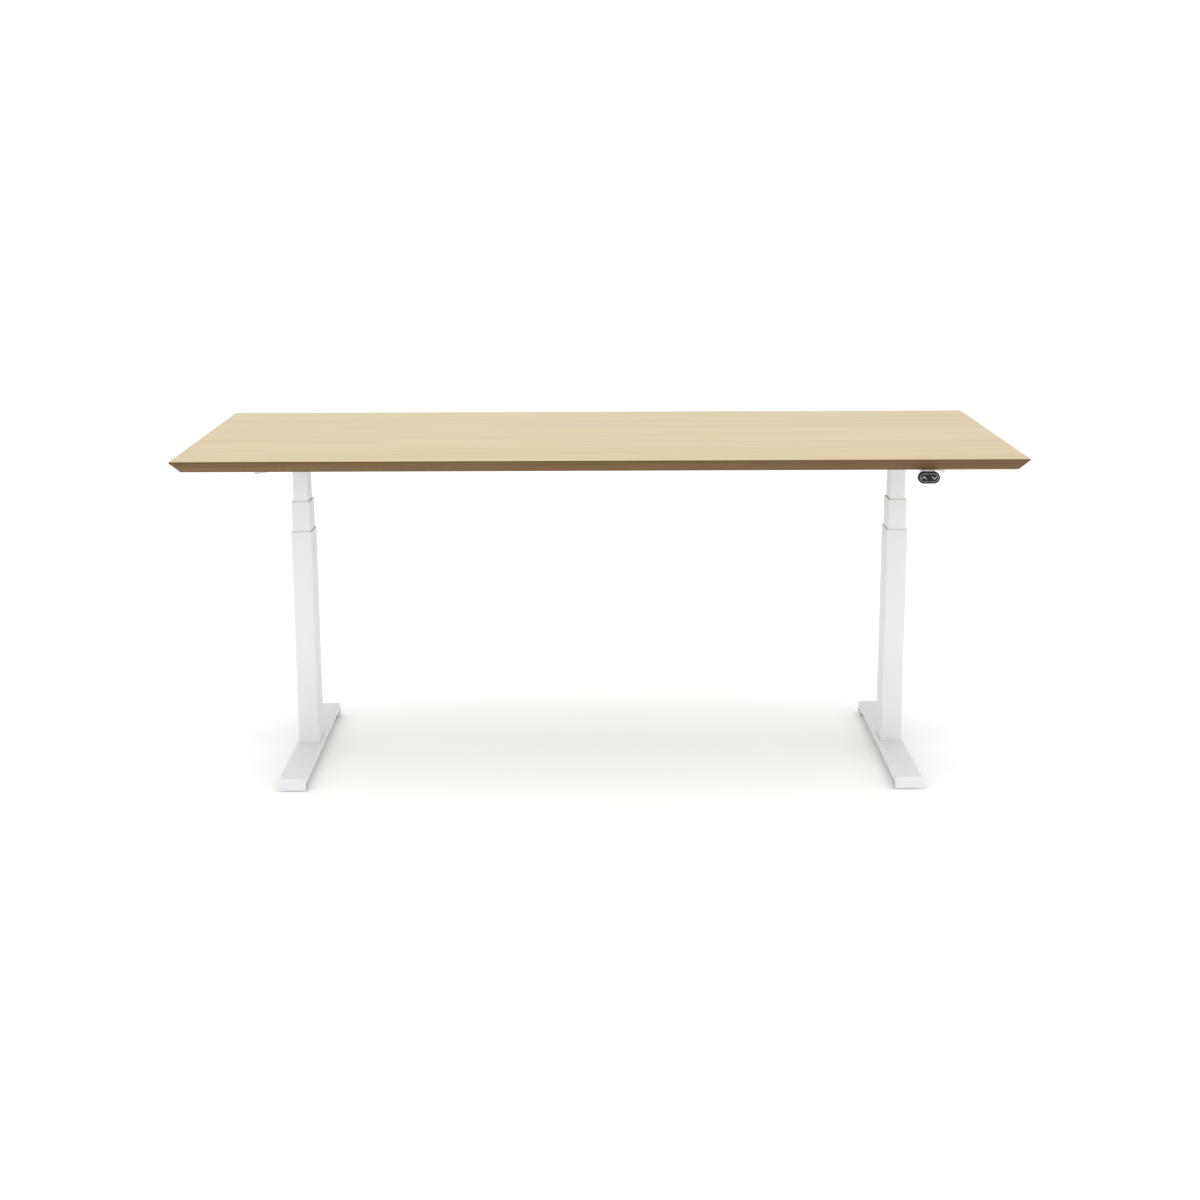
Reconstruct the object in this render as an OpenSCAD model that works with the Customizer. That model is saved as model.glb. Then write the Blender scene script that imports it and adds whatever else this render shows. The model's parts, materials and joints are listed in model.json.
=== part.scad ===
// Height adjustable standing desk with two three-stage lifting columns.
// X runs along the worktop, Y from the user's side to the back, Z up.
// The origin is on the floor under the middle of the worktop. All sizes are in millimetres.

/* [Worktop] */
// Length of the worktop
top_w = 1800; // [1700:10:2000]
// Depth of the worktop
top_d = 800; // [780:10:900]
// Thickness of the worktop
top_t = 25; // [20:1:32]
// Thickness of the wood veneer on top of the board
veneer_t = 0.6; // [0.5:0.1:2]
// Height of the upright edge above the bevel, veneer included
edge_h = 3; // [2.5:0.5:6]
// How far the bevel under the edge runs inwards
bevel_in = 20; // [5:1:40]

/* [Height] */
// Height of the worktop as the desk stands
desk_h = 750; // [700:5:900]
// Height of the worktop with the columns pushed in
desk_min_h = 630; // [620:5:660]
// Height of the worktop with the columns fully out
desk_max_h = 1280; // [1200:10:1340]
// How far the middle tube stands above the outer tube with the columns pushed in
rim_step = 9; // [4:1:20]
// Gap between the middle tube and the head plate with the columns pushed in
head_gap = 15; // [4:1:25]
// Gap under the middle tube with the columns pushed in
mid_clear = 5; // [4:1:12]
// Gap between the inner tube and the flange under it with the columns pushed in
inner_clear = 4; // [3:1:10]

/* [Columns] */
// Distance from the end of the worktop to the middle of a column
leg_in = 218; // [200:1:300]
// Width of the outer tube
outer_w = 48; // [47:0.5:52]
// Depth of the outer tube
outer_d = 80; // [79:0.5:84]
// Width of the middle tube
mid_w = 42; // [41:0.5:43]
// Depth of the middle tube
mid_d = 73; // [72:0.5:74]
// Width of the inner tube
inner_w = 34; // [33:0.5:36]
// Depth of the inner tube
inner_d = 66; // [65:0.5:67]
// Wall of every tube
tube_wall = 1.5; // [1:0.1:2]
// Outside corner radius of every tube
tube_r = 3; // [2.5:0.5:6]
// Length of each guide ring and glide shoe
guide_len = 30; // [15:1:60]
// How far a guide ring sits below the rim of its tube
guide_sunk = 0.5; // [0:0.5:4]
// Running gap between a guide ring or shoe and the tube that slides on it
guide_gap = 0.1; // [0.05:0.05:0.4]

/* [Feet] */
// Width of a foot
foot_w = 60; // [56:1:80]
// Length of a foot
foot_len = 620; // [500:5:700]
// How much further a foot reaches to the front than to the back
foot_lead = 10; // [0:2:60]
// Height of the top of a foot
foot_h = 29; // [26:1:40]
// Thickness of the foot's steel
foot_t = 3; // [2:0.1:4]
// Outside radius of the bend along each side of a foot
foot_r = 4; // [3.5:0.5:8]
// Height of the flange along each side of a foot
foot_flange = 14; // [10:1:16]
// Gap between the end plates of a foot and the floor
foot_clear = 2; // [1:0.5:5]
// Distance from the end of a foot to the middle of its glide
glide_in = 29.5; // [29:0.5:90]
// Diameter of a rear glide
rear_pad_d = 50; // [30:1:52]
// Diameter of a front glide
front_pad_d = 42; // [30:1:53]
// Thickness of a glide
pad_t = 8; // [6:0.5:10]
// Width of the slope around the upper edge of a glide
pad_slope = 2.5; // [1:0.5:4]
// Diameter of the levelling stem of a glide
stem_d = 8; // [6:0.5:10]
// Wall of the boss around a levelling stem
boss_wall = 4; // [2:0.5:6]
// Gap above the levelling stem with the glide screwed in
stem_gap = 0.5; // [0.2:0.1:2]
// Thickness of the block that closes the bottom of a column
base_t = 12; // [10:1:20]

/* [Lifting screws] */
// Diameter of the solid screw that stands on the base block
screw_d = 12; // [10:0.5:12]
// Outside diameter of the hollow screw
hollow_d = 18; // [17:0.5:19]
// Bore of the hollow screw above its thread
hollow_bore = 13; // [12.5:0.1:14]
// Length of the thread inside the hollow screw, and of the nut that runs outside it
nut_len = 20; // [14:1:30]
// Diameter of the hollow screw's journal in the middle tube's bearing block
journal_d = 20; // [20:0.5:23]
// How far the hollow screw's upper flange stands out over its journal
flange_out = 4; // [3:0.5:5]
// Thickness of that flange
flange_t = 4; // [3:0.5:8]
// How far the retaining ring below the bearing block stands out over the journal
ring_out = 2; // [1:0.5:4]
// Thickness of that ring
ring_t = 2; // [1:0.5:3]
// Thickness of the bearing block
bearing_t = 10; // [8:1:16]
// Width across the flats of the driving hexagon
hex_af = 20; // [19.6:0.1:20.6]
// Length of the driving hexagon
hex_len = 16; // [10:1:20]
// Outside diameter of the drive tube
drive_d = 26; // [25:0.5:28]
// Thickness of the drive tube's closed upper end
drive_cap = 6; // [3:0.5:8]
// Diameter of the fixed screw's foot in the base block
root_d = 8; // [6:0.5:10]
// Gap between the lift nut and the drive tube
drive_gap = 4; // [2:0.5:8]
// Spare length of the screws with the columns fully out
spare = 3; // [2:0.5:10]
// Radial gap of every shaft in its bearing
run_gap = 0.05; // [0.03:0.01:0.1]

/* [Drive] */
// Pitch diameter of the worm wheel
wheel_d = 44; // [40:1:48]
// Width of the worm wheel's toothed rim
wheel_t = 14; // [8:1:16]
// Height of the worm wheel's hub
hub_h = 11; // [8:1:14]
// Wall of the worm wheel's hub
hub_wall = 4; // [2:0.5:5]
// Pitch diameter of the worm
worm_d = 14; // [12:1:15]
// Length of the worm
worm_len = 40; // [24:1:42]
// Diameter of the worm's shaft
shaft_d = 8; // [6:0.5:9]
// Gap between the turning gears and the housing
gear_gap = 3; // [1:0.5:3]
// Gap between the worm and the worm wheel, taken off each pitch diameter's radius
mesh_gap = 0.05; // [0.03:0.01:0.2]
// Wall of the gearbox housing
gear_wall = 4; // [3:0.5:4]
// Height of the housing above the worm wheel
crown_h = 12; // [9:0.5:14]
// Height of the housing's foot, which takes the bolts
lug_h = 9; // [8.5:0.5:10]
// How far the housing's foot stands out past the wheel chamber
lug_out = 1; // [0.5:0.5:3]
// Distance of each bolt from the edge of that foot
lug_in = 5; // [4.5:0.5:6]
// Radius over the rounded edges of the housing
cast_r = 5; // [3:0.5:6]
// Height of the slope around the housing's top
cast_edge = 2; // [1:0.5:3]
// Height of the bearing cap on the housing's top, and of the cap's end on the motor
cap_h = 2; // [1:0.5:4]
// Radial gap between the worm and its tunnel
worm_gap = 1; // [0.5:0.5:2]
// Wall behind the end of the worm's shaft
end_wall = 1.5; // [1:0.5:3]
// Gap at the end of the worm's shaft
axial_gap = 0.5; // [0.2:0.1:1]
// Number of ribs around the wheel chamber
rib_n = 3; // [2:1:4]
// Thickness of each rib, and how far it stands out
rib_t = 2.5; // [1.5:0.5:4]
// Direction of the middle rib, seen from above with the motor at 0
rib_mid = 225; // [215:5:235]
// Angle between ribs
rib_step = 40; // [30:5:45]
// Diameter of the motor
motor_d = 34; // [31:1:35]
// Length of the motor
motor_len = 80; // [60:1:120]
// How far the worm's shaft reaches into the motor
motor_in = 15; // [8:1:30]
// How much slimmer the motor's can is than its end caps
can_in = 1; // [0.5:0.5:3]
// Length of the motor's front cap, and of the collar that takes it
collar_len = 6; // [3:0.5:8]
// Length of the motor's rear cap
rear_cap_len = 14; // [8:1:20]
// Diameter of the shaft bearing's boss on the rear cap
rear_boss_d = 13; // [8:1:20]
// How much slimmer the gearbox's collar is than the motor
collar_in = 4; // [3:0.5:8]

/* [Top frame] */
// Height of the steel rails
rail_h = 40; // [36:1:42]
// Width of a rail's flanges
rail_w = 25; // [20:1:32]
// Thickness of the rail steel
rail_t = 2; // [1.5:0.1:2.5]
// Outside radius of the bends in rails, brackets and plates
bend_r = 4; // [3:0.5:6]
// Distance from the column to the inner end of an end rail
end_rail_len = 352; // [300:1:400]
// How far an end rail and the centre rail overlap
rail_overlap = 90; // [60:5:120]
// Distance of each locking bolt from the end of its rail
lock_in = 20; // [15:1:28]
// Length of the slot for each locking bolt
lock_slot = 18; // [10:1:24]
// Play above the centre rail inside the end rail
rail_play = 0.4; // [0.2:0.1:1]
// Distance from the end of the centre rail to its rubber pad
pad_in = 220; // [150:5:300]
// Length of a rail pad
rail_pad_len = 30; // [20:1:50]
// Width of a rail pad
rail_pad_w = 16; // [12:1:18]
// Half the depth of the head bracket over its side flanges
head_half_d = 48; // [46:1:52]
// Half the length of the head bracket
head_half_w = 44; // [40:1:46]
// Thickness of the head bracket's steel
head_t = 3; // [2:0.5:3.5]
// How far the head plate lies below the rails
head_drop = 6.5; // [6:0.5:10]
// Distance of the rail bolts from the middle of the column
rail_bolt_x = 30; // [26:1:32]
// Distance of the side bracket from its column
side_x = 55; // [50:1:70]
// Length of a side bracket
side_len = 600; // [540:10:700]
// Width of the flange that carries the worktop
side_flange = 40; // [30:1:50]
// Depth of the side bracket at its ends
side_tip = 18; // [14:1:30]
// Depth of the side bracket at its middle
side_mid = 45; // [44:1:52]
// Half the length of the deep middle of a side bracket
side_flat = 90; // [80:1:120]
// Thickness of the side bracket's steel
side_t = 2.5; // [2:0.1:3]
// Distance of the outer wood screws from the ends of a side bracket
side_screw_in = 30; // [15:1:60]
// Distance between the wood screws of a side bracket
side_screw_step = 180; // [100:5:200]
// Length of the slots for the wood screws
side_slot = 12; // [8:1:16]

/* [Control box] */
// Length of the control box
box_w = 300; // [260:10:400]
// Depth of the control box
box_d = 100; // [80:5:130]
// Height of the control box's cover
box_h = 34.5; // [32:0.5:40]
// Distance from the middle of the desk to the front of the control box
box_y = 90; // [85:5:200]
// Wall of the control box's cover
box_wall = 2; // [1.5:0.1:3]
// Corner radius of the cover
box_r = 6; // [4:0.5:10]
// Length of each screw ear of the control box
box_ear = 18; // [14:1:30]
// Radius of the corners of the screw ears
ear_r = 6; // [3:0.5:10]
// Distance of each ear screw from the side of the box
ear_screw_in = 25; // [15:1:35]
// Number of ventilation slots in the cover
vent_n = 9; // [5:1:12]
// Width of a ventilation slot
vent_w = 3; // [2:0.5:4]
// Length of a ventilation slot
vent_len = 40; // [20:1:50]
// Distance between ventilation slots
vent_step = 9; // [7:0.5:12]
// Width of a socket for a motor or the handset
socket_w = 16; // [12:1:20]
// Height of those sockets
socket_h = 12; // [8:1:14]
// Distance between those sockets
socket_step = 30; // [24:1:34]
// Width of the mains inlet
inlet_w = 28; // [24:1:32]
// Height of the mains inlet
inlet_h = 20; // [16:1:22]
// Distance from the end of the box to the middle of the mains inlet
inlet_in = 40; // [25:1:60]
// How deep the faces of the sockets and of the inlet lie in the cover
socket_deep = 1.5; // [0.5:0.5:3]
// Length of the body of each socket
socket_len = 18; // [14:1:22]
// Number of sockets beside the mains inlet
socket_n = 4; // [1:1:5]
// Gap around each socket in the cover
socket_gap = 0.2; // [0.1:0.1:0.5]
// Gap between the circuit board and the cover
board_gap = 2; // [1:0.5:4]
// Thickness of a circuit board
board_t = 1.6; // [1:0.1:2]
// Height of the pillars that hold the circuit board
pillar_h = 9; // [6:1:12]
// Diameter of those pillars
pillar_d = 8; // [6:0.5:10]
// Distance of the pillars from the ends and sides of the box
pillar_in = 20; // [14:1:24]
// Length of the power supply's transformer, which is as deep
coil_w = 44; // [30:1:48]
// Height of the transformer
coil_h = 17; // [10:0.5:18]
// Diameter of the smoothing capacitors
capacitor_d = 16; // [10:1:18]
// Height of the smoothing capacitors
capacitor_h = 16; // [10:0.5:17]
// Distance between the smoothing capacitors
capacitor_step = 22; // [20:1:26]
// Number of smoothing capacitors
capacitor_n = 3; // [1:1:4]

/* [Handset] */
// Distance from the end of the worktop to the middle of the handset
handset_end = 209.5; // [150:0.5:600]
// Width of the handset
handset_w = 46; // [44:1:80]
// Height of the handset
handset_h = 25; // [23:1:32]
// How far the handset's face lies behind the front edge of the worktop
handset_in = 8; // [2:1:15]
// Gap between the handset and the worktop
handset_drop = 3; // [0.5:0.5:6]
// Wall of the handset's shell
handset_wall = 2; // [1.5:0.1:3]
// Width of the handset bracket's screw plate
ear_w = 40; // [36:1:44]
// Length of the handset bracket's screw plate
ear_len = 26; // [20:1:40]
// Width of the neck between the bracket's screw plate and its back plate
neck_w = 24; // [16:1:30]
// Distance between the two screws of the handset
ear_screw_step = 24; // [16:1:26]
// Width of the rim around the buttons
button_rim = 3.5; // [3:0.1:6]
// Gap around each button
button_gap = 0.3; // [0.2:0.05:0.6]
// How far a button travels
button_travel = 0.8; // [0.4:0.1:1.2]
// Thickness of the lip that holds a button in the shell
lip_t = 1.2; // [0.8:0.1:2]
// Diameter of a button's stem
button_stem_d = 4; // [3:0.5:6]
// Distance from the handset's face to the end of a button's stem
stem_end = 4.5; // [4:0.5:10]
// Distance from the middle of the handset to each switch
switch_x = 11; // [8:0.5:14]
// Width and height of a switch
switch_w = 6; // [4.5:0.5:8]
// Depth of a switch
switch_t = 3; // [2.5:0.1:5]
// Gap between a fully pressed button and its switch
switch_gap = 0.1; // [0.05:0.05:0.3]

/* [Fasteners] */
// Shank diameter of a wood screw
wood_screw_d = 5; // [4:0.5:6]
// Length of a wood screw's shank
wood_screw_len = 18; // [12:1:20]
// Head diameter of a wood screw
wood_head_d = 10; // [8:0.5:12]
// Head height of a wood screw
wood_head_h = 3; // [2:0.5:4]
// Shank diameter of a frame bolt
bolt_d = 6; // [5:0.5:6.5]
// Head diameter of a frame bolt
bolt_head_d = 10.5; // [9:0.5:12]
// Head height of a frame bolt
bolt_head_h = 3; // [2:0.5:3.5]
// Length of a frame bolt
bolt_len = 10; // [8:0.5:10]
// Shank diameter of a foot bolt
foot_bolt_d = 8; // [6:0.5:9]
// Head diameter of a foot bolt
foot_head_d = 13; // [11:0.5:14]
// Head height of a foot bolt
foot_head_h = 5; // [4:0.5:6]
// Distance of the foot bolts from the tube's wall, along X
foot_bolt_in_x = 10; // [8:0.5:11]
// Distance of the foot bolts from the tube's wall, along Y
foot_bolt_in_y = 11; // [8:0.5:16]
// Material left above each foot bolt
foot_bolt_cover = 2; // [1:0.5:3]
// How much wider a clearance hole is than its screw
hole_play = 0.4; // [0.2:0.1:1]

/* [Hidden] */
$fn = 48;

LEFT = -1;
RIGHT = 1;
WHITE = [0.91, 0.91, 0.90];
WOOD = [0.88, 0.82, 0.69];
STAINED = [0.51, 0.40, 0.29];
ZINC = [0.72, 0.73, 0.74];
STEEL = [0.55, 0.56, 0.58];
BRONZE = [0.78, 0.62, 0.30];
CASTING = [0.62, 0.63, 0.64];
BLACK = [0.11, 0.11, 0.12];
GREY = [0.35, 0.35, 0.36];
GREEN = [0.10, 0.35, 0.18];

// How far a cut runs past the face that it opens
cut = 1;

// Heights of the column, from the floor up
lift = (desk_h - desk_min_h) / 2;
stroke = (desk_max_h - desk_min_h) / 2;
base_top = foot_h + base_t;
under_top = desk_h - top_t;
seat_z = under_top - side_t;
rail_z = seat_z - rail_h;
rail_mid_z = rail_z + rail_h / 2;
head_z = rail_z - head_drop;
head_min_z = head_z - 2 * lift;
mid_min_z = base_top + mid_clear;
mid_z = mid_min_z + lift;
mid_len = head_min_z - head_gap - mid_min_z;
mid_top = mid_z + mid_len;
outer_top = head_min_z - head_gap - rim_step;
flange_z = mid_z + bearing_t + run_gap;
inner_z = flange_z + flange_t + inner_clear + lift;

// Bores and corner radii inside the tubes
inside_r = tube_r - tube_wall;
outer_in_w = outer_w - 2 * tube_wall;
outer_in_d = outer_d - 2 * tube_wall;
mid_in_w = mid_w - 2 * tube_wall;
mid_in_d = mid_d - 2 * tube_wall;
inner_in_w = inner_w - 2 * tube_wall;
inner_in_d = inner_d - 2 * tube_wall;

// Lengths along the lifting screws
ring_z = mid_z - run_gap - ring_t;
drive_z = inner_z + nut_len + drive_gap;
hex_z = drive_z + stroke - lift + spare;
screw_top = ring_z + nut_len + stroke - lift + spare;
hex_r = hex_af / 2 / cos(30);

// The gearbox stands on the head plate
plate_top = head_z + head_t;
wheel_z = plate_top + hub_h;
worm_y = (wheel_d + worm_d) / 2;
worm_z = wheel_z + wheel_t / 2;
gear_top = wheel_z + wheel_t + crown_h;
drive_top = gear_top - gear_wall;
chamber_d = wheel_d + 2 * gear_gap + 2 * gear_wall;
tunnel_w = worm_d + 2 * gear_wall;
gear_back = worm_y + tunnel_w / 2;
gear_front = -chamber_d / 2 - lug_out;
gear_out = -chamber_d / 2 - lug_out;
gear_in = head_half_w;

// Frame places
leg_x = top_w / 2 - leg_in;
end_rail_x = leg_x - end_rail_len;
centre_half = end_rail_x + rail_overlap;
pad_x = centre_half - pad_in;
rail_mid_y = head_half_d + rail_w / 2;
lock_x = [end_rail_x + lock_in, centre_half - lock_in];
side_bolt_x = leg_x + side_x + side_flange / 2;
board_z = seat_z - pillar_h;
board_under = board_z - board_t;
inlet_x = box_w / 2 - inlet_in;

// Handset places
handset_x = top_w / 2 - handset_end;
handset_face = -top_d / 2 + handset_in;
handset_z = under_top - handset_drop - handset_h / 2;
lip_y = handset_wall + run_gap;
switch_y = stem_end + button_travel + switch_gap;
board_y = switch_y + switch_t;
handset_len = board_y + board_t;
handset_back = handset_face + handset_len;

// Foot places
foot_front = -(foot_len + foot_lead) / 2;
foot_back = foot_front + foot_len;
foot_under = foot_h - foot_t;
front_glide_y = foot_front + glide_in;
rear_glide_y = foot_back - glide_in;

// Places of the wood screws on the worktop's underside
side_screws = [for (sx = [-1, 1], sy = [-1, 1], k = [0, 1])
    [sx * side_bolt_x, sy * (side_len / 2 - side_screw_in - k * side_screw_step)]];
box_screws = [for (sx = [-1, 1], y = [box_y + ear_screw_in, box_y + box_d - ear_screw_in])
    [sx * (box_w + box_ear) / 2, y]];
handset_screws = [for (sx = [-1, 1])
    [handset_x + sx * ear_screw_step / 2, handset_back + (bend_r + ear_len) / 2]];
top_screws = concat(side_screws, box_screws, handset_screws);

// Places of the bolts, seen from a column
foot_bolt_at = [for (sx = [-1, 1], sy = [-1, 1])
    [sx * (outer_in_w / 2 - foot_bolt_in_x), sy * (outer_in_d / 2 - foot_bolt_in_y)]];
gear_bolt_at = [for (x = [gear_out + lug_in, gear_in - lug_in],
    y = [gear_front + lug_in, gear_back - lug_in]) [x, y]];

// ---- Flat outlines ----

// A rectangle with round corners
module plan(w, d, r) {
    square([w - 2 * r, d], center = true);
    square([w, d - 2 * r], center = true);
    for (sx = [-1, 1], sy = [-1, 1])
        translate([sx * (w / 2 - r), sy * (d / 2 - r)])
            circle(r = r);
}

// An upright sheet with its two upper corners rounded
module arch(w, y0, y1, r) {
    translate([-w / 2, y0])
        square([w, y1 - r - y0]);
    translate([-w / 2 + r, y0])
        square([w - 2 * r, y1 - y0]);
    for (sx = [-1, 1])
        translate([sx * (w / 2 - r), y1 - r])
            circle(r = r);
}

// A filled C-shape with its back on the Y axis and the back's two corners rounded
module channel_outline(w, h, r) {
    intersection() {
        translate([w, h / 2])
            plan(2 * w, h, r);
        square([w, h]);
    }
}

// A folded C-shape of sheet steel
module channel(w, h, t, r) {
    difference() {
        channel_outline(w, h, r);
        translate([w + t, h / 2])
            plan(2 * w, h - 2 * t, r - t);
    }
}

// A folded trough of sheet steel, open upwards, with its underside on the X axis
module trough(w, h, t, r) {
    difference() {
        intersection() {
            translate([0, h])
                plan(w, 2 * h, r);
            translate([-w / 2, 0])
                square([w, h]);
        }
        translate([0, h + t])
            plan(w - 2 * t, 2 * h, r - t);
    }
}

// A folded angle of sheet steel, with its outer corner at the origin
module angle_iron(w, h, t, r) {
    difference() {
        intersection() {
            translate([-w, -h])
                plan(2 * w, 2 * h, r);
            translate([-w, -h])
                square([w, h]);
        }
        translate([-w - t, -h - t])
            plan(2 * w, 2 * h, r - t);
    }
}

// A bar with round ends
module pill(w, h) {
    square([w - h, h], center = true);
    for (sx = [-1, 1])
        translate([sx * (w - h) / 2, 0])
            circle(d = h);
}

// ---- Solids that repeat ----

// Pulls an outline in Y and Z along X
module along_x(x0, x1) {
    translate([x0, 0, 0])
        rotate([90, 0, 90])
            linear_extrude(height = x1 - x0)
                children();
}

// Pulls an outline in X and Z along Y
module along_y(y0, y1) {
    translate([0, y1, 0])
        rotate([90, 0, 0])
            linear_extrude(height = y1 - y0)
                children();
}

module block(w, d, r, z0, z1) {
    translate([0, 0, z0])
        linear_extrude(height = z1 - z0)
            plan(w, d, r);
}

module sleeve(w, d, r, in_w, in_d, in_r, z0, z1) {
    difference() {
        block(w, d, r, z0, z1);
        block(in_w, in_d, in_r, z0 - cut, z1 + cut);
    }
}

module rod(d, z0, z1) {
    translate([0, 0, z0])
        cylinder(d = d, h = z1 - z0);
}

module rod_x(d, x0, x1) {
    translate([x0, 0, 0])
        rotate([0, 90, 0])
            cylinder(d = d, h = x1 - x0);
}

module rod_y(d, y0, y1) {
    translate([0, y1, 0])
        rotate([90, 0, 0])
            cylinder(d = d, h = y1 - y0);
}

module hexagon(r, z0, z1) {
    translate([0, 0, z0])
        linear_extrude(height = z1 - z0)
            circle(r = r, $fn = 6);
}

module box(lo, hi) {
    translate(lo)
        cube(hi - lo);
}

// An upright cut for a bolt that can move along X, or along Y with turn = 90
module slot(d, len, z0, z1, turn = 0) {
    translate([0, 0, z0])
        rotate([0, 0, turn])
            linear_extrude(height = z1 - z0)
                pill(len, d);
}

// A screw that points up, with the underside of its head at z = 0
module screw(shank_d, head_d, head_h, len) {
    rod(head_d, -head_h, 0);
    rod(shank_d, 0, len);
}

// Puts a piece on its column, with +X of the piece pointing to the middle of the desk
module on_leg(side) {
    if (side == LEFT)
        translate([-leg_x, 0, 0])
            children();
    else
        translate([leg_x, 0, 0])
            mirror([1, 0, 0])
                children();
}

module front_and_rear() {
    children();
    mirror([0, 1, 0])
        children();
}

// ---- Worktop ----

module worktop_surface() {
    color(WOOD)
        box([-top_w / 2, -top_d / 2, desk_h - veneer_t], [top_w / 2, top_d / 2, desk_h]);
}

// The board seen along one of its edges: upright edge above, bevel below
module board_outline(length) {
    half = length / 2;
    polygon([[-half + bevel_in, under_top], [half - bevel_in, under_top],
        [half, desk_h - edge_h], [half, desk_h - veneer_t],
        [-half, desk_h - veneer_t], [-half, desk_h - edge_h]]);
}

module worktop_core() {
    color(STAINED)
        difference() {
            intersection() {
                along_x(-top_w / 2, top_w / 2)
                    board_outline(top_d);
                along_y(-top_d / 2, top_d / 2)
                    board_outline(top_w);
            }
            for (at = top_screws)
                translate([at[0], at[1], 0])
                    rod(wood_screw_d, under_top - cut, seat_z + wood_screw_len);
        }
}

module worktop_screws() {
    color(ZINC)
        for (at = top_screws)
            translate([at[0], at[1], seat_z])
                screw(wood_screw_d, wood_head_d, wood_head_h, wood_screw_len);
}

// ---- Top frame ----

module centre_rails() {
    color(WHITE)
        front_and_rear()
            difference() {
                translate([0, head_half_d + rail_t, rail_z + rail_t])
                    along_x(-centre_half, centre_half)
                        channel(rail_w - rail_t, rail_h - 2 * rail_t - rail_play, rail_t, bend_r);
                for (sx = [-1, 1], x = lock_x)
                    translate([sx * x, rail_mid_y, 0])
                        rod(bolt_d, rail_z - cut, rail_z + 2 * rail_t + cut);
            }
}

module end_rails(side) {
    color(WHITE)
        on_leg(side)
            front_and_rear()
                difference() {
                    translate([0, head_half_d, rail_z])
                        union() {
                            along_x(-side_x, end_rail_len)
                                channel(rail_w, rail_h, rail_t, bend_r);
                            along_x(-side_x, -side_x + head_t)
                                channel_outline(rail_w, rail_h, bend_r);
                        }
                    for (x = lock_x)
                        translate([leg_x - x, rail_mid_y, 0])
                            slot(bolt_d + hole_play, lock_slot, rail_z - cut, rail_z + rail_t + cut);
                    for (x = [-rail_bolt_x, rail_bolt_x])
                        translate([x, 0, rail_mid_z])
                            rod_y(bolt_d, head_half_d - cut, head_half_d + rail_t + cut);
                    translate([0, rail_mid_y, rail_mid_z])
                        rod_x(bolt_d, -side_x - cut, -side_x + head_t + cut);
                }
}

module rail_pads() {
    pad_base = rail_z + rail_h - rail_t - rail_play;
    color(BLACK)
        for (sx = [-1, 1])
            front_and_rear()
                translate([sx * pad_x, rail_mid_y, 0])
                    block(rail_pad_len, rail_pad_w, rail_t, pad_base, under_top);
}

module side_bracket(side) {
    half = side_len / 2;
    color(WHITE)
        on_leg(side)
            difference() {
                intersection() {
                    translate([-side_x, 0, under_top])
                        along_y(-half, half)
                            angle_iron(side_flange, side_mid, side_t, bend_r);
                    along_x(-side_x - 2 * side_flange, side_x)
                        polygon([[-half, under_top], [-half, under_top - side_tip],
                            [-side_flat, under_top - side_mid], [side_flat, under_top - side_mid],
                            [half, under_top - side_tip], [half, under_top]]);
                }
                for (at = side_screws)
                    if (at[0] * side > 0)
                        translate([leg_x - abs(at[0]), at[1], 0])
                            slot(wood_screw_d + hole_play, side_slot, seat_z - cut, under_top + cut);
                for (sy = [-1, 1])
                    translate([0, sy * rail_mid_y, rail_mid_z])
                        rod_x(bolt_d + hole_play, -side_x - side_t - cut, -side_x + cut);
            }
}

module head_bracket(side) {
    color(WHITE)
        on_leg(side)
            difference() {
                translate([0, 0, head_z])
                    along_x(-head_half_w, head_half_w)
                        trough(2 * head_half_d, seat_z - head_z, head_t, bend_r);
                rod(drive_d + 2 * run_gap, head_z - cut, plate_top + cut);
                for (at = gear_bolt_at)
                    translate([at[0], at[1], 0])
                        rod(bolt_d + hole_play, head_z - cut, plate_top + cut);
                for (x = [-rail_bolt_x, rail_bolt_x])
                    translate([x, 0, rail_mid_z])
                        rod_y(bolt_d + hole_play, -head_half_d - cut, head_half_d + cut);
            }
}

module bolt() {
    screw(bolt_d, bolt_head_d, bolt_head_h, bolt_len);
}

module frame_bolts() {
    color(ZINC)
        for (side = [LEFT, RIGHT])
            on_leg(side) {
                front_and_rear() {
                    for (x = lock_x)
                        translate([leg_x - x, rail_mid_y, rail_z])
                            bolt();
                    for (x = [-rail_bolt_x, rail_bolt_x])
                        translate([x, head_half_d - head_t, rail_mid_z])
                            rotate([-90, 0, 0])
                                bolt();
                    translate([-side_x - side_t, rail_mid_y, rail_mid_z])
                        rotate([0, 90, 0])
                            bolt();
                }
                for (at = gear_bolt_at)
                    translate([at[0], at[1], head_z])
                        bolt();
            }
}

// ---- Control box ----

// Where each socket sits along the box, with its width and height
sockets = concat([for (k = [0:socket_n - 1]) [-inlet_x + k * socket_step, socket_w, socket_h]],
    [[inlet_x, inlet_w, inlet_h]]);

// The sockets' bodies, grown all round by gap, between two places along Y
module socket_bodies(y0, y1, gap) {
    for (s = sockets)
        box([s[0] - s[1] / 2 - gap, y0, board_under - s[2] - gap],
            [s[0] + s[1] / 2 + gap, y1, board_under + gap]);
}

module control_box_base() {
    color(BLACK)
        difference() {
            union() {
                translate([0, box_y + box_d / 2, 0])
                    block(box_w + 2 * box_ear, box_d, ear_r, seat_z, under_top);
                for (sx = [-1, 1], y = [box_y + pillar_in, box_y + box_d - pillar_in])
                    translate([sx * (box_w / 2 - pillar_in), y, 0])
                        rod(pillar_d, board_z, seat_z + side_t / 2);
            }
            for (at = box_screws)
                translate([at[0], at[1], 0])
                    rod(wood_screw_d + hole_play, seat_z - cut, under_top + cut);
        }
}

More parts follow.
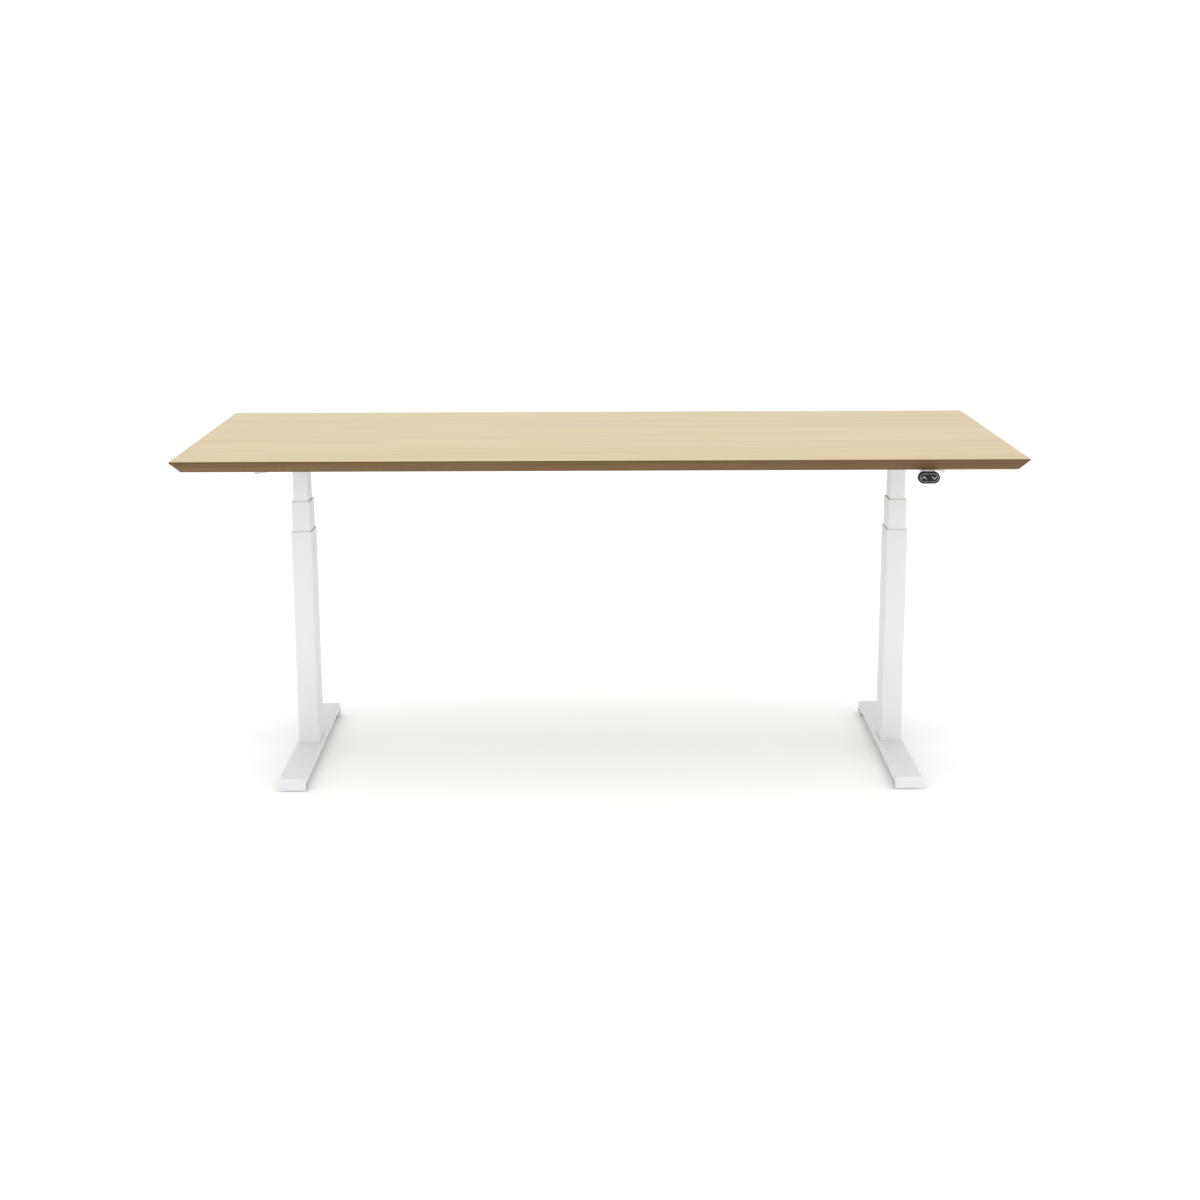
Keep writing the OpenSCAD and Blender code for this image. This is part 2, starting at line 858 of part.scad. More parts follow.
module control_box_cover() {
    floor_z = seat_z - box_h;
    color(BLACK)
        difference() {
            translate([0, box_y + box_d / 2, 0])
                difference() {
                    block(box_w, box_d, box_r, floor_z, seat_z);
                    block(box_w - 2 * box_wall, box_d - 2 * box_wall, box_r - box_wall,
                        floor_z + box_wall, seat_z + cut);
                    for (k = [0:vent_n - 1])
                        translate([(k - (vent_n - 1) / 2) * vent_step, 0, 0])
                            slot(vent_w, vent_len, floor_z - cut, floor_z + box_wall + cut, 90);
                }
            socket_bodies(box_y + box_d - 2 * box_wall, box_y + box_d + cut, socket_gap);
        }
}

module control_board() {
    color(GREEN)
        translate([0, box_y, 0]) {
            translate([0, box_d / 2, 0])
                block(box_w - 2 * box_wall - 2 * board_gap, box_d - 2 * box_wall - 2 * board_gap,
                    board_gap, board_under, board_z);
            box([-inlet_x, board_gap + 2 * box_wall, board_under - coil_h],
                [-inlet_x + coil_w, board_gap + 2 * box_wall + coil_w, board_under]);
            for (k = [0:capacitor_n - 1])
                translate([-inlet_x + coil_w + (k + 1) * capacitor_step, box_d / 2 - capacitor_d, 0])
                    rod(capacitor_d, board_under - capacitor_h, board_under);
            translate([0, -box_y, 0])
                socket_bodies(box_y + box_d - socket_len, box_y + box_d - socket_deep, 0);
        }
}

// ---- Handset ----

module at_handset() {
    translate([handset_x, handset_face, handset_z])
        children();
}

module handset_shell() {
    in_w = handset_w - 2 * handset_wall;
    in_h = handset_h - 2 * handset_wall;
    color(BLACK)
        at_handset()
            difference() {
                along_y(0, handset_len)
                    pill(handset_w, handset_h);
                along_y(-cut, handset_len)
                    pill(handset_w - 2 * button_rim, handset_h - 2 * button_rim);
                along_y(handset_wall, handset_len + cut)
                    pill(in_w, in_h);
            }
}

// A folded steel sheet: a back plate for the shell, a neck and a screw plate
module handset_bracket() {
    plate_len = ear_len - bend_r - side_t;
    color(WHITE)
        difference() {
            union() {
                at_handset()
                    along_y(handset_len, handset_len + side_t)
                        pill(handset_w, handset_h);
                translate([handset_x, handset_back, under_top])
                    mirror([0, 1, 0])
                        along_x(-neck_w / 2, neck_w / 2)
                            angle_iron(ear_len, under_top - handset_z, side_t, bend_r);
                translate([handset_x, handset_back + ear_len - plate_len / 2, 0])
                    block(ear_w, plate_len, side_t, seat_z, under_top);
            }
            for (at = handset_screws)
                translate([at[0], at[1], 0])
                    rod(wood_screw_d + hole_play, seat_z - cut, under_top + cut);
        }
}

module handset_board() {
    color(GREEN)
        at_handset() {
            along_y(board_y, handset_len)
                pill(handset_w - 2 * handset_wall, handset_h - 2 * handset_wall);
            for (sx = [-1, 1])
                box([sx * switch_x - switch_w / 2, switch_y, -switch_w / 2],
                    [sx * switch_x + switch_w / 2, switch_y + switch_t, switch_w / 2]);
        }
}

module button(sx) {
    face_w = handset_w - 2 * button_rim - 2 * button_gap;
    face_h = handset_h - 2 * button_rim - 2 * button_gap;
    lip_w = handset_w - 2 * handset_wall - 2 * button_gap;
    lip_h = handset_h - 2 * handset_wall - 2 * button_gap;
    edge = sx < 0 ? [-handset_w, -button_gap] : [button_gap, handset_w];
    color(GREY)
        at_handset() {
            intersection() {
                union() {
                    along_y(0, lip_y + lip_t)
                        pill(face_w, face_h);
                    along_y(lip_y, lip_y + lip_t)
                        pill(lip_w, lip_h);
                }
                box([edge[0], -cut, -handset_h], [edge[1], handset_len, handset_h]);
            }
            translate([sx * switch_x, 0, 0])
                rod_y(button_stem_d, lip_y, stem_end);
        }
}

// ---- Foot ----

module foot(side) {
    color(WHITE)
        on_leg(side)
            difference() {
                union() {
                    difference() {
                        along_y(foot_front, foot_back)
                            arch(foot_w, foot_clear, foot_h, foot_r);
                        along_y(foot_front + foot_t, foot_back - foot_t)
                            arch(foot_w - 2 * foot_t, foot_clear - cut, foot_under, foot_r - foot_t);
                        box([-foot_w, foot_front + foot_t, 0],
                            [foot_w, foot_back - foot_t, foot_h - foot_flange]);
                    }
                    for (y = [front_glide_y, rear_glide_y])
                        translate([0, y, 0])
                            rod(stem_d + 2 * boss_wall, pad_t, foot_under + foot_t / 2);
                }
                for (y = [front_glide_y, rear_glide_y])
                    translate([0, y, 0])
                        rod(stem_d + 2 * run_gap, pad_t - cut, foot_under);
                for (at = foot_bolt_at)
                    translate([at[0], at[1], 0])
                        rod(foot_bolt_d + hole_play, foot_under - cut, foot_h + cut);
            }
}

module glide(side, y, pad_d) {
    color(BLACK)
        on_leg(side)
            translate([0, y, 0]) {
                rod(pad_d, 0, pad_t - pad_slope);
                translate([0, 0, pad_t - pad_slope])
                    cylinder(d1 = pad_d, d2 = pad_d - 2 * pad_slope, h = pad_slope);
                rod(stem_d, pad_t - pad_slope, foot_under - stem_gap);
            }
}

module foot_bolts(side) {
    color(ZINC)
        on_leg(side)
            for (at = foot_bolt_at)
                translate([at[0], at[1], foot_under])
                    screw(foot_bolt_d, foot_head_d, foot_head_h, foot_t + base_t - foot_bolt_cover);
}

// ---- Column ----

module base_block(side) {
    color(STEEL)
        on_leg(side)
            difference() {
                block(outer_in_w, outer_in_d, inside_r, foot_h, base_top);
                for (at = foot_bolt_at)
                    translate([at[0], at[1], 0])
                        rod(foot_bolt_d, foot_h - cut, base_top - foot_bolt_cover);
                rod(root_d, foot_h + foot_bolt_cover, base_top + cut);
            }
}

module outer_tube(side) {
    color(WHITE)
        on_leg(side)
            sleeve(outer_w, outer_d, tube_r, outer_in_w, outer_in_d, inside_r, foot_h, outer_top);
}

module outer_guide(side) {
    color(GREY)
        on_leg(side)
            sleeve(outer_in_w, outer_in_d, inside_r, mid_w + 2 * guide_gap, mid_d + 2 * guide_gap,
                tube_r + guide_gap, outer_top - guide_sunk - guide_len, outer_top - guide_sunk);
}

module fixed_screw(side) {
    color(STEEL)
        on_leg(side) {
            rod(root_d, foot_h + foot_bolt_cover, base_top);
            rod(screw_d, base_top, screw_top);
        }
}

module mid_tube(side) {
    color(WHITE)
        on_leg(side)
            sleeve(mid_w, mid_d, tube_r, mid_in_w, mid_in_d, inside_r, mid_z, mid_top);
}

module mid_shoe(side) {
    color(GREY)
        on_leg(side)
            sleeve(outer_in_w - 2 * guide_gap, outer_in_d - 2 * guide_gap, inside_r - guide_gap,
                mid_w, mid_d, tube_r, mid_z, mid_z + guide_len);
}

module mid_guide(side) {
    color(GREY)
        on_leg(side)
            sleeve(mid_in_w, mid_in_d, inside_r, inner_w + 2 * guide_gap, inner_d + 2 * guide_gap,
                tube_r + guide_gap, mid_top - guide_sunk - guide_len, mid_top - guide_sunk);
}

module bearing_block(side) {
    color(STEEL)
        on_leg(side)
            difference() {
                block(mid_in_w, mid_in_d, inside_r, mid_z, mid_z + bearing_t);
                rod(journal_d + 2 * run_gap, mid_z - cut, mid_z + bearing_t + cut);
            }
}

module hollow_screw(side) {
    color(STEEL)
        on_leg(side)
            difference() {
                union() {
                    rod(journal_d + 2 * ring_out, ring_z, mid_z - run_gap);
                    rod(journal_d, ring_z, flange_z + flange_t);
                    rod(journal_d + 2 * flange_out, flange_z, flange_z + flange_t);
                    rod(hollow_d, flange_z, hex_z);
                    hexagon(hex_r, hex_z, hex_z + hex_len);
                }
                rod(screw_d + 2 * run_gap, ring_z - cut, ring_z + nut_len + cut);
                rod(hollow_bore, ring_z + nut_len, hex_z + hex_len + cut);
            }
}

module inner_tube(side) {
    color(WHITE)
        on_leg(side)
            sleeve(inner_w, inner_d, tube_r, inner_in_w, inner_in_d, inside_r, inner_z, head_z);
}

module inner_shoes() {
    color(GREY)
        for (side = [LEFT, RIGHT])
            on_leg(side)
                sleeve(mid_in_w - 2 * guide_gap, mid_in_d - 2 * guide_gap, inside_r - guide_gap,
                    inner_w, inner_d, tube_r, inner_z, inner_z + guide_len);
}

module lift_nuts() {
    color(BRONZE)
        for (side = [LEFT, RIGHT])
            on_leg(side)
                difference() {
                    block(inner_in_w, inner_in_d, inside_r, inner_z, inner_z + nut_len);
                    rod(hollow_d + 2 * run_gap, inner_z - cut, inner_z + nut_len + cut);
                }
}

// ---- Drive ----

module drive_tube(side) {
    color(STEEL)
        on_leg(side)
            difference() {
                rod(drive_d, drive_z, drive_top);
                hexagon(hex_r + 2 * run_gap, drive_z - cut, drive_top - drive_cap);
            }
}

module worm_wheel(side) {
    color(BRONZE)
        on_leg(side)
            difference() {
                union() {
                    rod(drive_d + 2 * hub_wall, plate_top + run_gap, wheel_z);
                    rod(wheel_d - 2 * mesh_gap, wheel_z, wheel_z + wheel_t);
                }
                rod(drive_d, plate_top - cut, wheel_z + wheel_t + cut);
            }
}

module gearbox_body() {
    mid_x = (gear_out + gear_in) / 2;
    mid_y = (gear_front + gear_back) / 2;
    translate([mid_x, mid_y, 0])
        block(gear_in - gear_out, gear_back - gear_front, cast_r, plate_top, plate_top + lug_h);
    rod(chamber_d, plate_top, gear_top - cast_edge);
    translate([0, 0, gear_top - cast_edge])
        cylinder(d1 = chamber_d, d2 = chamber_d - 2 * cast_edge, h = cast_edge);
    rod(drive_d + 2 * gear_wall, gear_top - gear_wall, gear_top + cap_h);
    translate([0, worm_y, 0])
        along_x(gear_out, gear_in)
            arch(tunnel_w, plate_top, worm_z + tunnel_w / 2, cast_r);
    translate([0, worm_y, worm_z])
        rod_x(motor_d - collar_in, gear_in - collar_len, gear_in);
    for (k = [0:rib_n - 1])
        rotate([0, 0, rib_mid + (k - (rib_n - 1) / 2) * rib_step])
            box([chamber_d / 2 - gear_wall / 2, -rib_t / 2, plate_top],
                [chamber_d / 2 + rib_t, rib_t / 2, gear_top - 2 * cast_edge]);
}

module gearbox(side) {
    color(CASTING)
        on_leg(side)
            difference() {
                gearbox_body();
                rod(wheel_d + 2 * gear_gap, plate_top - cut, wheel_z + wheel_t + run_gap);
                rod(drive_d + 2 * run_gap, plate_top, drive_top + run_gap);
                translate([0, worm_y, worm_z]) {
                    rod_x(worm_d + 2 * worm_gap, -worm_len / 2 - 2 * worm_gap, gear_in + cut);
                    rod_x(shaft_d + 2 * run_gap, gear_out + end_wall, gear_in);
                }
                for (at = gear_bolt_at)
                    translate([at[0], at[1], 0])
                        rod(bolt_d, plate_top - cut, head_z + bolt_len);
            }
}

module worm_shaft(side) {
    color(STEEL)
        on_leg(side)
            translate([0, worm_y, worm_z]) {
                rod_x(shaft_d, gear_out + end_wall + axial_gap, gear_in + motor_in);
                rod_x(worm_d - 2 * mesh_gap, -worm_len / 2, worm_len / 2);
            }
}

module motor(side) {
    motor_end = gear_in + motor_len;
    color(ZINC)
        on_leg(side)
            translate([0, worm_y, worm_z])
                difference() {
                    union() {
                        rod_x(motor_d, gear_in, gear_in + collar_len);
                        rod_x(motor_d - 2 * can_in, gear_in, motor_end - cap_h);
                        rod_x(motor_d, motor_end - cap_h - rear_cap_len, motor_end - cap_h);
                        rod_x(rear_boss_d, motor_end - 2 * cap_h, motor_end);
                    }
                    rod_x(shaft_d + 2 * run_gap, gear_in - cut, gear_in + motor_in + axial_gap);
                }
}

worktop_surface();
worktop_core();
centre_rails();
end_rails(LEFT);  // left_end_rails
end_rails(RIGHT);  // right_end_rails
rail_pads();
side_bracket(LEFT);  // left_side_bracket
side_bracket(RIGHT);  // right_side_bracket
head_bracket(LEFT);  // left_head_bracket
head_bracket(RIGHT);  // right_head_bracket
frame_bolts();
worktop_screws();
control_box_base();
control_box_cover();
control_board();
handset_shell();
handset_bracket();
handset_board();
button(-1);  // up_button
button(1);  // down_button
foot(LEFT);  // left_foot
foot(RIGHT);  // right_foot
glide(LEFT, front_glide_y, front_pad_d);  // left_front_glide
glide(RIGHT, front_glide_y, front_pad_d);  // right_front_glide
glide(LEFT, rear_glide_y, rear_pad_d);  // left_rear_glide
glide(RIGHT, rear_glide_y, rear_pad_d);  // right_rear_glide
base_block(LEFT);  // left_base_block
base_block(RIGHT);  // right_base_block
foot_bolts(LEFT);  // left_foot_bolts
foot_bolts(RIGHT);  // right_foot_bolts
outer_tube(LEFT);  // left_outer_tube
outer_tube(RIGHT);  // right_outer_tube
outer_guide(LEFT);  // left_outer_guide
outer_guide(RIGHT);  // right_outer_guide
fixed_screw(LEFT);  // left_fixed_screw
fixed_screw(RIGHT);  // right_fixed_screw
mid_tube(LEFT);  // left_mid_tube
mid_tube(RIGHT);  // right_mid_tube
mid_shoe(LEFT);  // left_mid_shoe
mid_shoe(RIGHT);  // right_mid_shoe
mid_guide(LEFT);  // left_mid_guide
mid_guide(RIGHT);  // right_mid_guide
bearing_block(LEFT);  // left_bearing_block
bearing_block(RIGHT);  // right_bearing_block
hollow_screw(LEFT);  // left_hollow_screw
hollow_screw(RIGHT);  // right_hollow_screw
inner_tube(LEFT);  // left_inner_tube
inner_tube(RIGHT);  // right_inner_tube
inner_shoes();
lift_nuts();
drive_tube(LEFT);  // left_drive_tube
drive_tube(RIGHT);  // right_drive_tube
worm_wheel(LEFT);  // left_worm_wheel
worm_wheel(RIGHT);  // right_worm_wheel
gearbox(LEFT);  // left_gearbox
gearbox(RIGHT);  // right_gearbox
motor(LEFT);  // left_motor
motor(RIGHT);  // right_motor
worm_shaft(LEFT);  // left_worm_shaft
worm_shaft(RIGHT);  // right_worm_shaft
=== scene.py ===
"""Looks of a height adjustable standing desk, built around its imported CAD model.

Each operator makes one group of pieces: the worktop, the lifting columns, the feet, the steel
frame under the top, the gearboxes and motors, the control box and the handset. Two more give the
works inside their materials and set up the floor, the light and the camera.
"""

import json
import math
from collections import namedtuple
from contextlib import contextmanager

import bmesh
import bpy
from bpy.props import FloatProperty, FloatVectorProperty, PointerProperty, StringProperty
from mathutils import Matrix, Vector


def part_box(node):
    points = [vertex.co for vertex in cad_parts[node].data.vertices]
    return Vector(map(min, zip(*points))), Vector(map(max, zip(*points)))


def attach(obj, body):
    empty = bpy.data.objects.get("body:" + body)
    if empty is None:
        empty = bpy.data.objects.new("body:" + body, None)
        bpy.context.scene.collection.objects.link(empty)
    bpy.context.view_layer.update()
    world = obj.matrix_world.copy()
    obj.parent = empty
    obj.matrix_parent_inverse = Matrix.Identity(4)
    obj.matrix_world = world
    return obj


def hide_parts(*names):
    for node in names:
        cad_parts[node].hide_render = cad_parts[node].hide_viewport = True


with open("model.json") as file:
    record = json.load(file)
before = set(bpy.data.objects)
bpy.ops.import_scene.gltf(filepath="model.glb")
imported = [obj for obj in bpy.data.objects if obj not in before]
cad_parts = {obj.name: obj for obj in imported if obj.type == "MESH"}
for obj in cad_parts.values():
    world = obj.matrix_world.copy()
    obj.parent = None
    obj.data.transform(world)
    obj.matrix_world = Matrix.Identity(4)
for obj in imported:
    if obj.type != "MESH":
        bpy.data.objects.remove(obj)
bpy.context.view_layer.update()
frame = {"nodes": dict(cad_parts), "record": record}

bl_info = {
    "name": "Standing desk",
    "version": (1, 0, 0),
    "blender": (4, 5, 0),
    "location": "View3D > Sidebar > Standing desk",
    "description": "Builds a height adjustable desk with a bevelled worktop and lifting columns",
    "category": "Add Mesh",
}

MM = 0.001
X, Y, Z = Vector((1, 0, 0)), Vector((0, 1, 0)), Vector((0, 0, 1))
SIDES = ("left", "right")
ENDS = ("front", "rear")

# How close two places, directions or corners are when they count as the same
SAME_PLACE = 0.01 * MM
SAME_WAY = 0.999
SAME_CORNER = 0.002 * MM
# Triangles that meet flatter than this are one face, and softer edges than this are shaded smooth
FLAT_BELOW = math.radians(0.5)
SMOOTH_BELOW = math.radians(35)


# ---- Modelling by hand ----


def deselect():
    """Leaves nothing selected, so that the next operator acts on one piece only."""
    bpy.ops.object.select_all(action="DESELECT")


def activate(piece):
    """Selects one piece alone and makes it active."""
    deselect()
    bpy.context.view_layer.objects.active = piece
    piece.select_set(True)


@contextmanager
def editing(piece):
    """Holds a piece in edit mode, with nothing on it selected at first."""
    activate(piece)
    bpy.ops.object.mode_set(mode="EDIT")
    bpy.ops.mesh.select_all(action="DESELECT")
    yield bmesh.from_edit_mesh(piece.data)
    bpy.ops.object.mode_set(mode="OBJECT")


def named(name):
    """Names the piece that was just added and bakes its place into its mesh."""
    piece = bpy.context.object
    piece.name = piece.data.name = name
    bpy.ops.object.transform_apply(location=True, rotation=True, scale=True)
    return piece


def cube(name, low, high):
    """Adds a cube that fills the box between two corners."""
    deselect()
    low, high = Vector(low), Vector(high)
    bpy.ops.mesh.primitive_cube_add(size=1, location=(low + high) / 2)
    bpy.context.object.scale = high - low
    return named(name)


def turned(name, start, axis, outline, sides=48):
    """Turns a solid round an axis. The outline lists (distance from start along it, radius)."""
    deselect()
    first, radius = outline[0]
    bpy.ops.mesh.primitive_circle_add(
        vertices=sides, radius=radius, fill_type="NGON", location=(0, 0, first)
    )
    piece = named(name)
    with editing(piece):
        bpy.ops.mesh.select_all(action="SELECT")
        for along, next_radius in outline[1:]:
            rise = (0, 0, along - first)
            bpy.ops.mesh.extrude_region_move(TRANSFORM_OT_translate={"value": rise})
            share = next_radius / radius
            bpy.ops.transform.resize(value=(share, share, 1), center_override=(0, 0, along))
            first, radius = along, next_radius
        bpy.ops.mesh.select_all(action="SELECT")
        bpy.ops.mesh.normals_make_consistent(inside=False)
    place = Matrix.Translation(start) @ Vector(axis).to_track_quat("Z", "Y").to_matrix().to_4x4()
    piece.data.transform(place)
    return piece


def pick_faces(mesh, test):
    """Selects the faces whose middle and normal pass the test, and nothing else."""
    bpy.ops.mesh.select_mode(type="FACE")
    bpy.ops.mesh.select_all(action="DESELECT")
    for face in mesh.faces:
        face.select_set(test(face.calc_center_median(), face.normal))


def pick_edges(mesh, test):
    """Selects the edges whose middle and direction pass the test, and nothing else."""
    bpy.ops.mesh.select_mode(type="EDGE")
    bpy.ops.mesh.select_all(action="DESELECT")
    for edge in mesh.edges:
        a, b = (v.co for v in edge.verts)
        edge.select_set(test((a + b) / 2, (b - a).normalized()))


def runs_along(direction, axis):
    """True if an edge's direction is along the axis, either way."""
    return abs(direction.dot(axis)) > SAME_WAY


def looks(normal, way):
    """True if a face looks straight along a way."""
    return normal.dot(way) > SAME_WAY


def near(a, b):
    """True if two places along an axis are the same."""
    return abs(a - b) < SAME_PLACE


def modify(piece, kind, **settings):
    """Adds a modifier to a piece and applies it."""
    modifier = piece.modifiers.new(kind.title(), kind)
    for setting, value in settings.items():
        setattr(modifier, setting, value)
    activate(piece)
    bpy.ops.object.modifier_apply(modifier=modifier.name)


def soften(piece, width, steps=2, sharper_than=40):
    """Rounds each edge that is sharper than an angle in degrees, as tooling leaves it."""
    modify(
        piece,
        "BEVEL",
        width=width,
        segments=steps,
        limit_method="ANGLE",
        angle_limit=math.radians(sharper_than),
        use_clamp_overlap=False,
    )


def join(pieces, name):
    """Makes one piece of several."""
    deselect()
    for piece in pieces:
        piece.select_set(True)
    bpy.context.view_layer.objects.active = pieces[0]
    bpy.ops.object.join()
    pieces[0].name = pieces[0].data.name = name
    return pieces[0]


def copied(piece, name, place=None):
    """Copies a piece with its own mesh and moves the copy by a matrix.

    A mirrored copy keeps its faces outwards.
    """
    copy = bpy.data.objects.new(name, piece.data.copy())
    copy.data.name = name
    bpy.context.scene.collection.objects.link(copy)
    if place is not None:
        copy.data.transform(place)
        if place.determinant() < 0:
            copy.data.flip_normals()
    return copy


def on_other_side(piece):
    """Copies a piece of the left column across the desk to the right column."""
    return copied(piece, piece.name.replace("left", "right"), Matrix.Scale(-1, 4, X))


def from_cad(node, name):
    """Copies a CAD node's mesh into a new piece and merges its loose triangles into whole faces."""
    piece = copied(frame["nodes"][node], name)
    piece.data.materials.clear()
    with editing(piece):
        bpy.ops.mesh.select_all(action="SELECT")
        bpy.ops.mesh.remove_doubles(threshold=SAME_CORNER)
        bpy.ops.mesh.customdata_custom_splitnormals_clear()
        bpy.ops.mesh.dissolve_limited(angle_limit=FLAT_BELOW)
        bpy.ops.mesh.normals_make_consistent(inside=False)
    return piece


def dress(piece, body, slot, nodes=()):
    """Gives a piece the finish of its slot when it has no material yet, smooth shading and its
    body, and hides the CAD nodes it stands for.
    """
    if not piece.data.materials:
        piece.data.materials.append(finish(slot))
    activate(piece)
    bpy.ops.object.shade_smooth_by_angle(angle=SMOOTH_BELOW)
    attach(piece, body)
    if nodes:
        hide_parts(*nodes)


def paint_faces(piece, names, choose):
    """Gives a piece the named finishes. For each face, choose(middle, normal) numbers one."""
    for name in names:
        piece.data.materials.append(finish(name))
    for face in piece.data.polygons:
        face.material_index = choose(face.center, face.normal)


def dress_cad(node, body, slot, width):
    """Stands a softened copy in for a CAD node."""
    piece = from_cad(node, node + "_piece")
    soften(piece, width)
    dress(piece, body, slot, [node])


# ---- Materials ----

# The values that a pattern of spots spreads over, apart from its rare peaks
SPOT_RANGE = {"From Min": 0.3, "From Max": 0.7}


def linear(hex_colour):
    """Turns an sRGB hex value into linear red, green, blue and alpha."""
    parts = [int(hex_colour[i : i + 2], 16) / 255 for i in (1, 3, 5)]
    return [p / 12.92 if p <= 0.04045 else ((p + 0.055) / 1.055) ** 2.4 for p in parts] + [1.0]


def wire(tree, node, sockets):
    """Gives each named socket of a node its value, or links another node's output to it."""
    for socket, value in sockets.items():
        if isinstance(value, bpy.types.NodeSocket):
            tree.links.new(value, node.inputs[socket])
        else:
            node.inputs[socket].default_value = value


def add(tree, kind, sockets=None, **settings):
    """Adds a node with its settings and wires its sockets."""
    node = tree.nodes.new(kind)
    for setting, value in settings.items():
        setattr(node, setting, value)
    wire(tree, node, sockets or {})
    return node


def new_material(name):
    """Starts a material and returns it with its node tree and its shader."""
    material = bpy.data.materials.new(name)
    material.use_nodes = True
    return material, material.node_tree, material.node_tree.nodes["Principled BSDF"]


def spots(tree, size, detail=2.0, where=None):
    """A pattern of soft spots of a real size in metres: one number, or one each for X, Y and Z."""
    if where is None:
        where = add(tree, "ShaderNodeTexCoord").outputs["Object"]
    sides = size if isinstance(size, tuple) else (size, size, size)
    scaled = add(tree, "ShaderNodeMapping", {"Vector": where, "Scale": [1 / s for s in sides]})
    sockets = {"Vector": scaled.outputs[0], "Scale": 1.0, "Detail": detail}
    return add(tree, "ShaderNodeTexNoise", sockets).outputs[0]


def skin(tree, shader, tone, colours, fine, roughness, depth, reach=1.0):
    """Gives a surface its colour from one pattern, and its gloss and relief from a finer one.

    Tone takes the colour from the first of two towards the second, by a share of reach at most.
    Fine takes the roughness from the lower to the higher value, and is raised by a depth in metres.
    """
    first, second = (linear(colour) for colour in colours)
    low, high = roughness
    share = add(tree, "ShaderNodeMapRange", {
        "Value": tone, **SPOT_RANGE, "To Min": 0.0, "To Max": reach,
    })
    sockets = {0: share.outputs[0], 6: first, 7: second}
    colour = add(tree, "ShaderNodeMix", sockets, data_type="RGBA")
    gloss = add(tree, "ShaderNodeMapRange", {
        "Value": fine, **SPOT_RANGE, "To Min": low, "To Max": high,
    })
    relief = add(tree, "ShaderNodeBump", {"Height": fine, "Distance": depth})
    wire(tree, shader, {
        "Base Color": colour.outputs[2],
        "Roughness": gloss.outputs[0],
        "Normal": relief.outputs[0],
    })


def wood(name, pale, dark, pore, along, gloss):
    """Straight-grained wood whose fibres run along X or Y.

    Its tone changes from one veneer leaf to the next, with the year rings and with the fibres.
    Real fibres are about 0.1 mm wide and are drawn 0.9 mm wide, as fine as shows.
    """
    material, tree, shader = new_material(name)

    def turn(length, width):
        """A size along the fibres and across them, as X, Y and Z."""
        return (length, width, width) if along == "X" else (width, length, width)

    # The whole pattern sways sideways a little, as a trunk does
    where = add(tree, "ShaderNodeTexCoord").outputs["Object"]
    sway = spots(tree, turn(700 * MM, 160 * MM), 1.0, where)
    sockets = {0: sway, 1: turn(0.0, 35 * MM)}
    shift = add(tree, "ShaderNodeVectorMath", sockets, operation="MULTIPLY").outputs[0]
    bent = add(tree, "ShaderNodeVectorMath", {0: where, 1: shift}, operation="ADD").outputs[0]
    leaves = spots(tree, turn(1300 * MM, 30 * MM), 2.0, bent)
    rings = spots(tree, turn(380 * MM, 5.5 * MM), 3.0, bent)
    fibres = spots(tree, turn(60 * MM, 0.9 * MM), 2.0, bent)
    pores = spots(tree, turn(10 * MM, 0.6 * MM), 1.0, bent)

    # Rings and fibres count less than the leaves, and the sum lies between 0.70 and 1.20
    tone = leaves
    for lines, share in ((rings, 0.55), (fibres, 0.35)):
        sockets = {0: lines, 1: share, 2: tone}
        tone = add(tree, "ShaderNodeMath", sockets, operation="MULTIPLY_ADD").outputs[0]
    paleness = add(tree, "ShaderNodeMapRange", {
        "Value": tone, "From Min": 0.70, "From Max": 1.20, "To Min": 0.0, "To Max": 1.0,
    })
    sockets = {0: paleness.outputs[0], 6: linear(dark), 7: linear(pale)}
    plain = add(tree, "ShaderNodeMix", sockets, data_type="RGBA")
    # Open pores are only the peaks of their pattern, and show about half of their own colour
    open_pores = add(tree, "ShaderNodeMapRange", {
        "Value": pores, "From Min": 0.60, "From Max": 0.74, "To Min": 0.0, "To Max": 0.55,
    }).outputs[0]
    sockets = {0: open_pores, 6: plain.outputs[2], 7: linear(pore)}
    colour = add(tree, "ShaderNodeMix", sockets, data_type="RGBA")
    roughness = add(tree, "ShaderNodeMapRange", {
        "Value": rings, **SPOT_RANGE, "To Min": gloss + 0.06, "To Max": gloss - 0.04,
    })
    height = add(tree, "ShaderNodeMath", {0: fibres, 1: open_pores}, operation="SUBTRACT")
    relief = add(tree, "ShaderNodeBump", {"Height": height.outputs[0], "Distance": 0.05 * MM})
    wire(tree, shader, {
        "Base Color": colour.outputs[2],
        "Roughness": roughness.outputs[0],
        "Normal": relief.outputs[0],
        "Specular IOR Level": 0.3,
        "Coat Weight": 0.04,
        "Coat Roughness": 0.35,
    })
    return material


def top_veneer():
    """Pale ash veneer under satin lacquer: a quiet straight grain with a soft sheen."""
    look = bpy.context.scene.desk_worktop
    return wood("Ash veneer, satin lacquer", look.pale, look.dark, "#C7AE83", "X", 0.42)


def bevel_wood(along):
    """Brown stained and lacquered bevel: darker than the top, with fine lines along the edge."""
    look = bpy.context.scene.desk_worktop
    return wood("Stained bevel along " + along, look.edge, look.edge_dark, "#4A3621", along, 0.5)


def rim_wood(along):
    """Stained upright edge, in darker tones than the bevel: it is the darkest line of the board."""
    look = bpy.context.scene.desk_worktop
    return wood("Stained rim along " + along, look.rim, look.rim_dark, "#3A2A14", along, 0.5)


def backing_veneer():
    """Plain backing veneer under the board, which keeps it flat: duller and paler than the top."""
    return wood("Backing veneer, unpolished", "#D8CDB6", "#CBBFA4", "#B7A888", "X", 0.62)


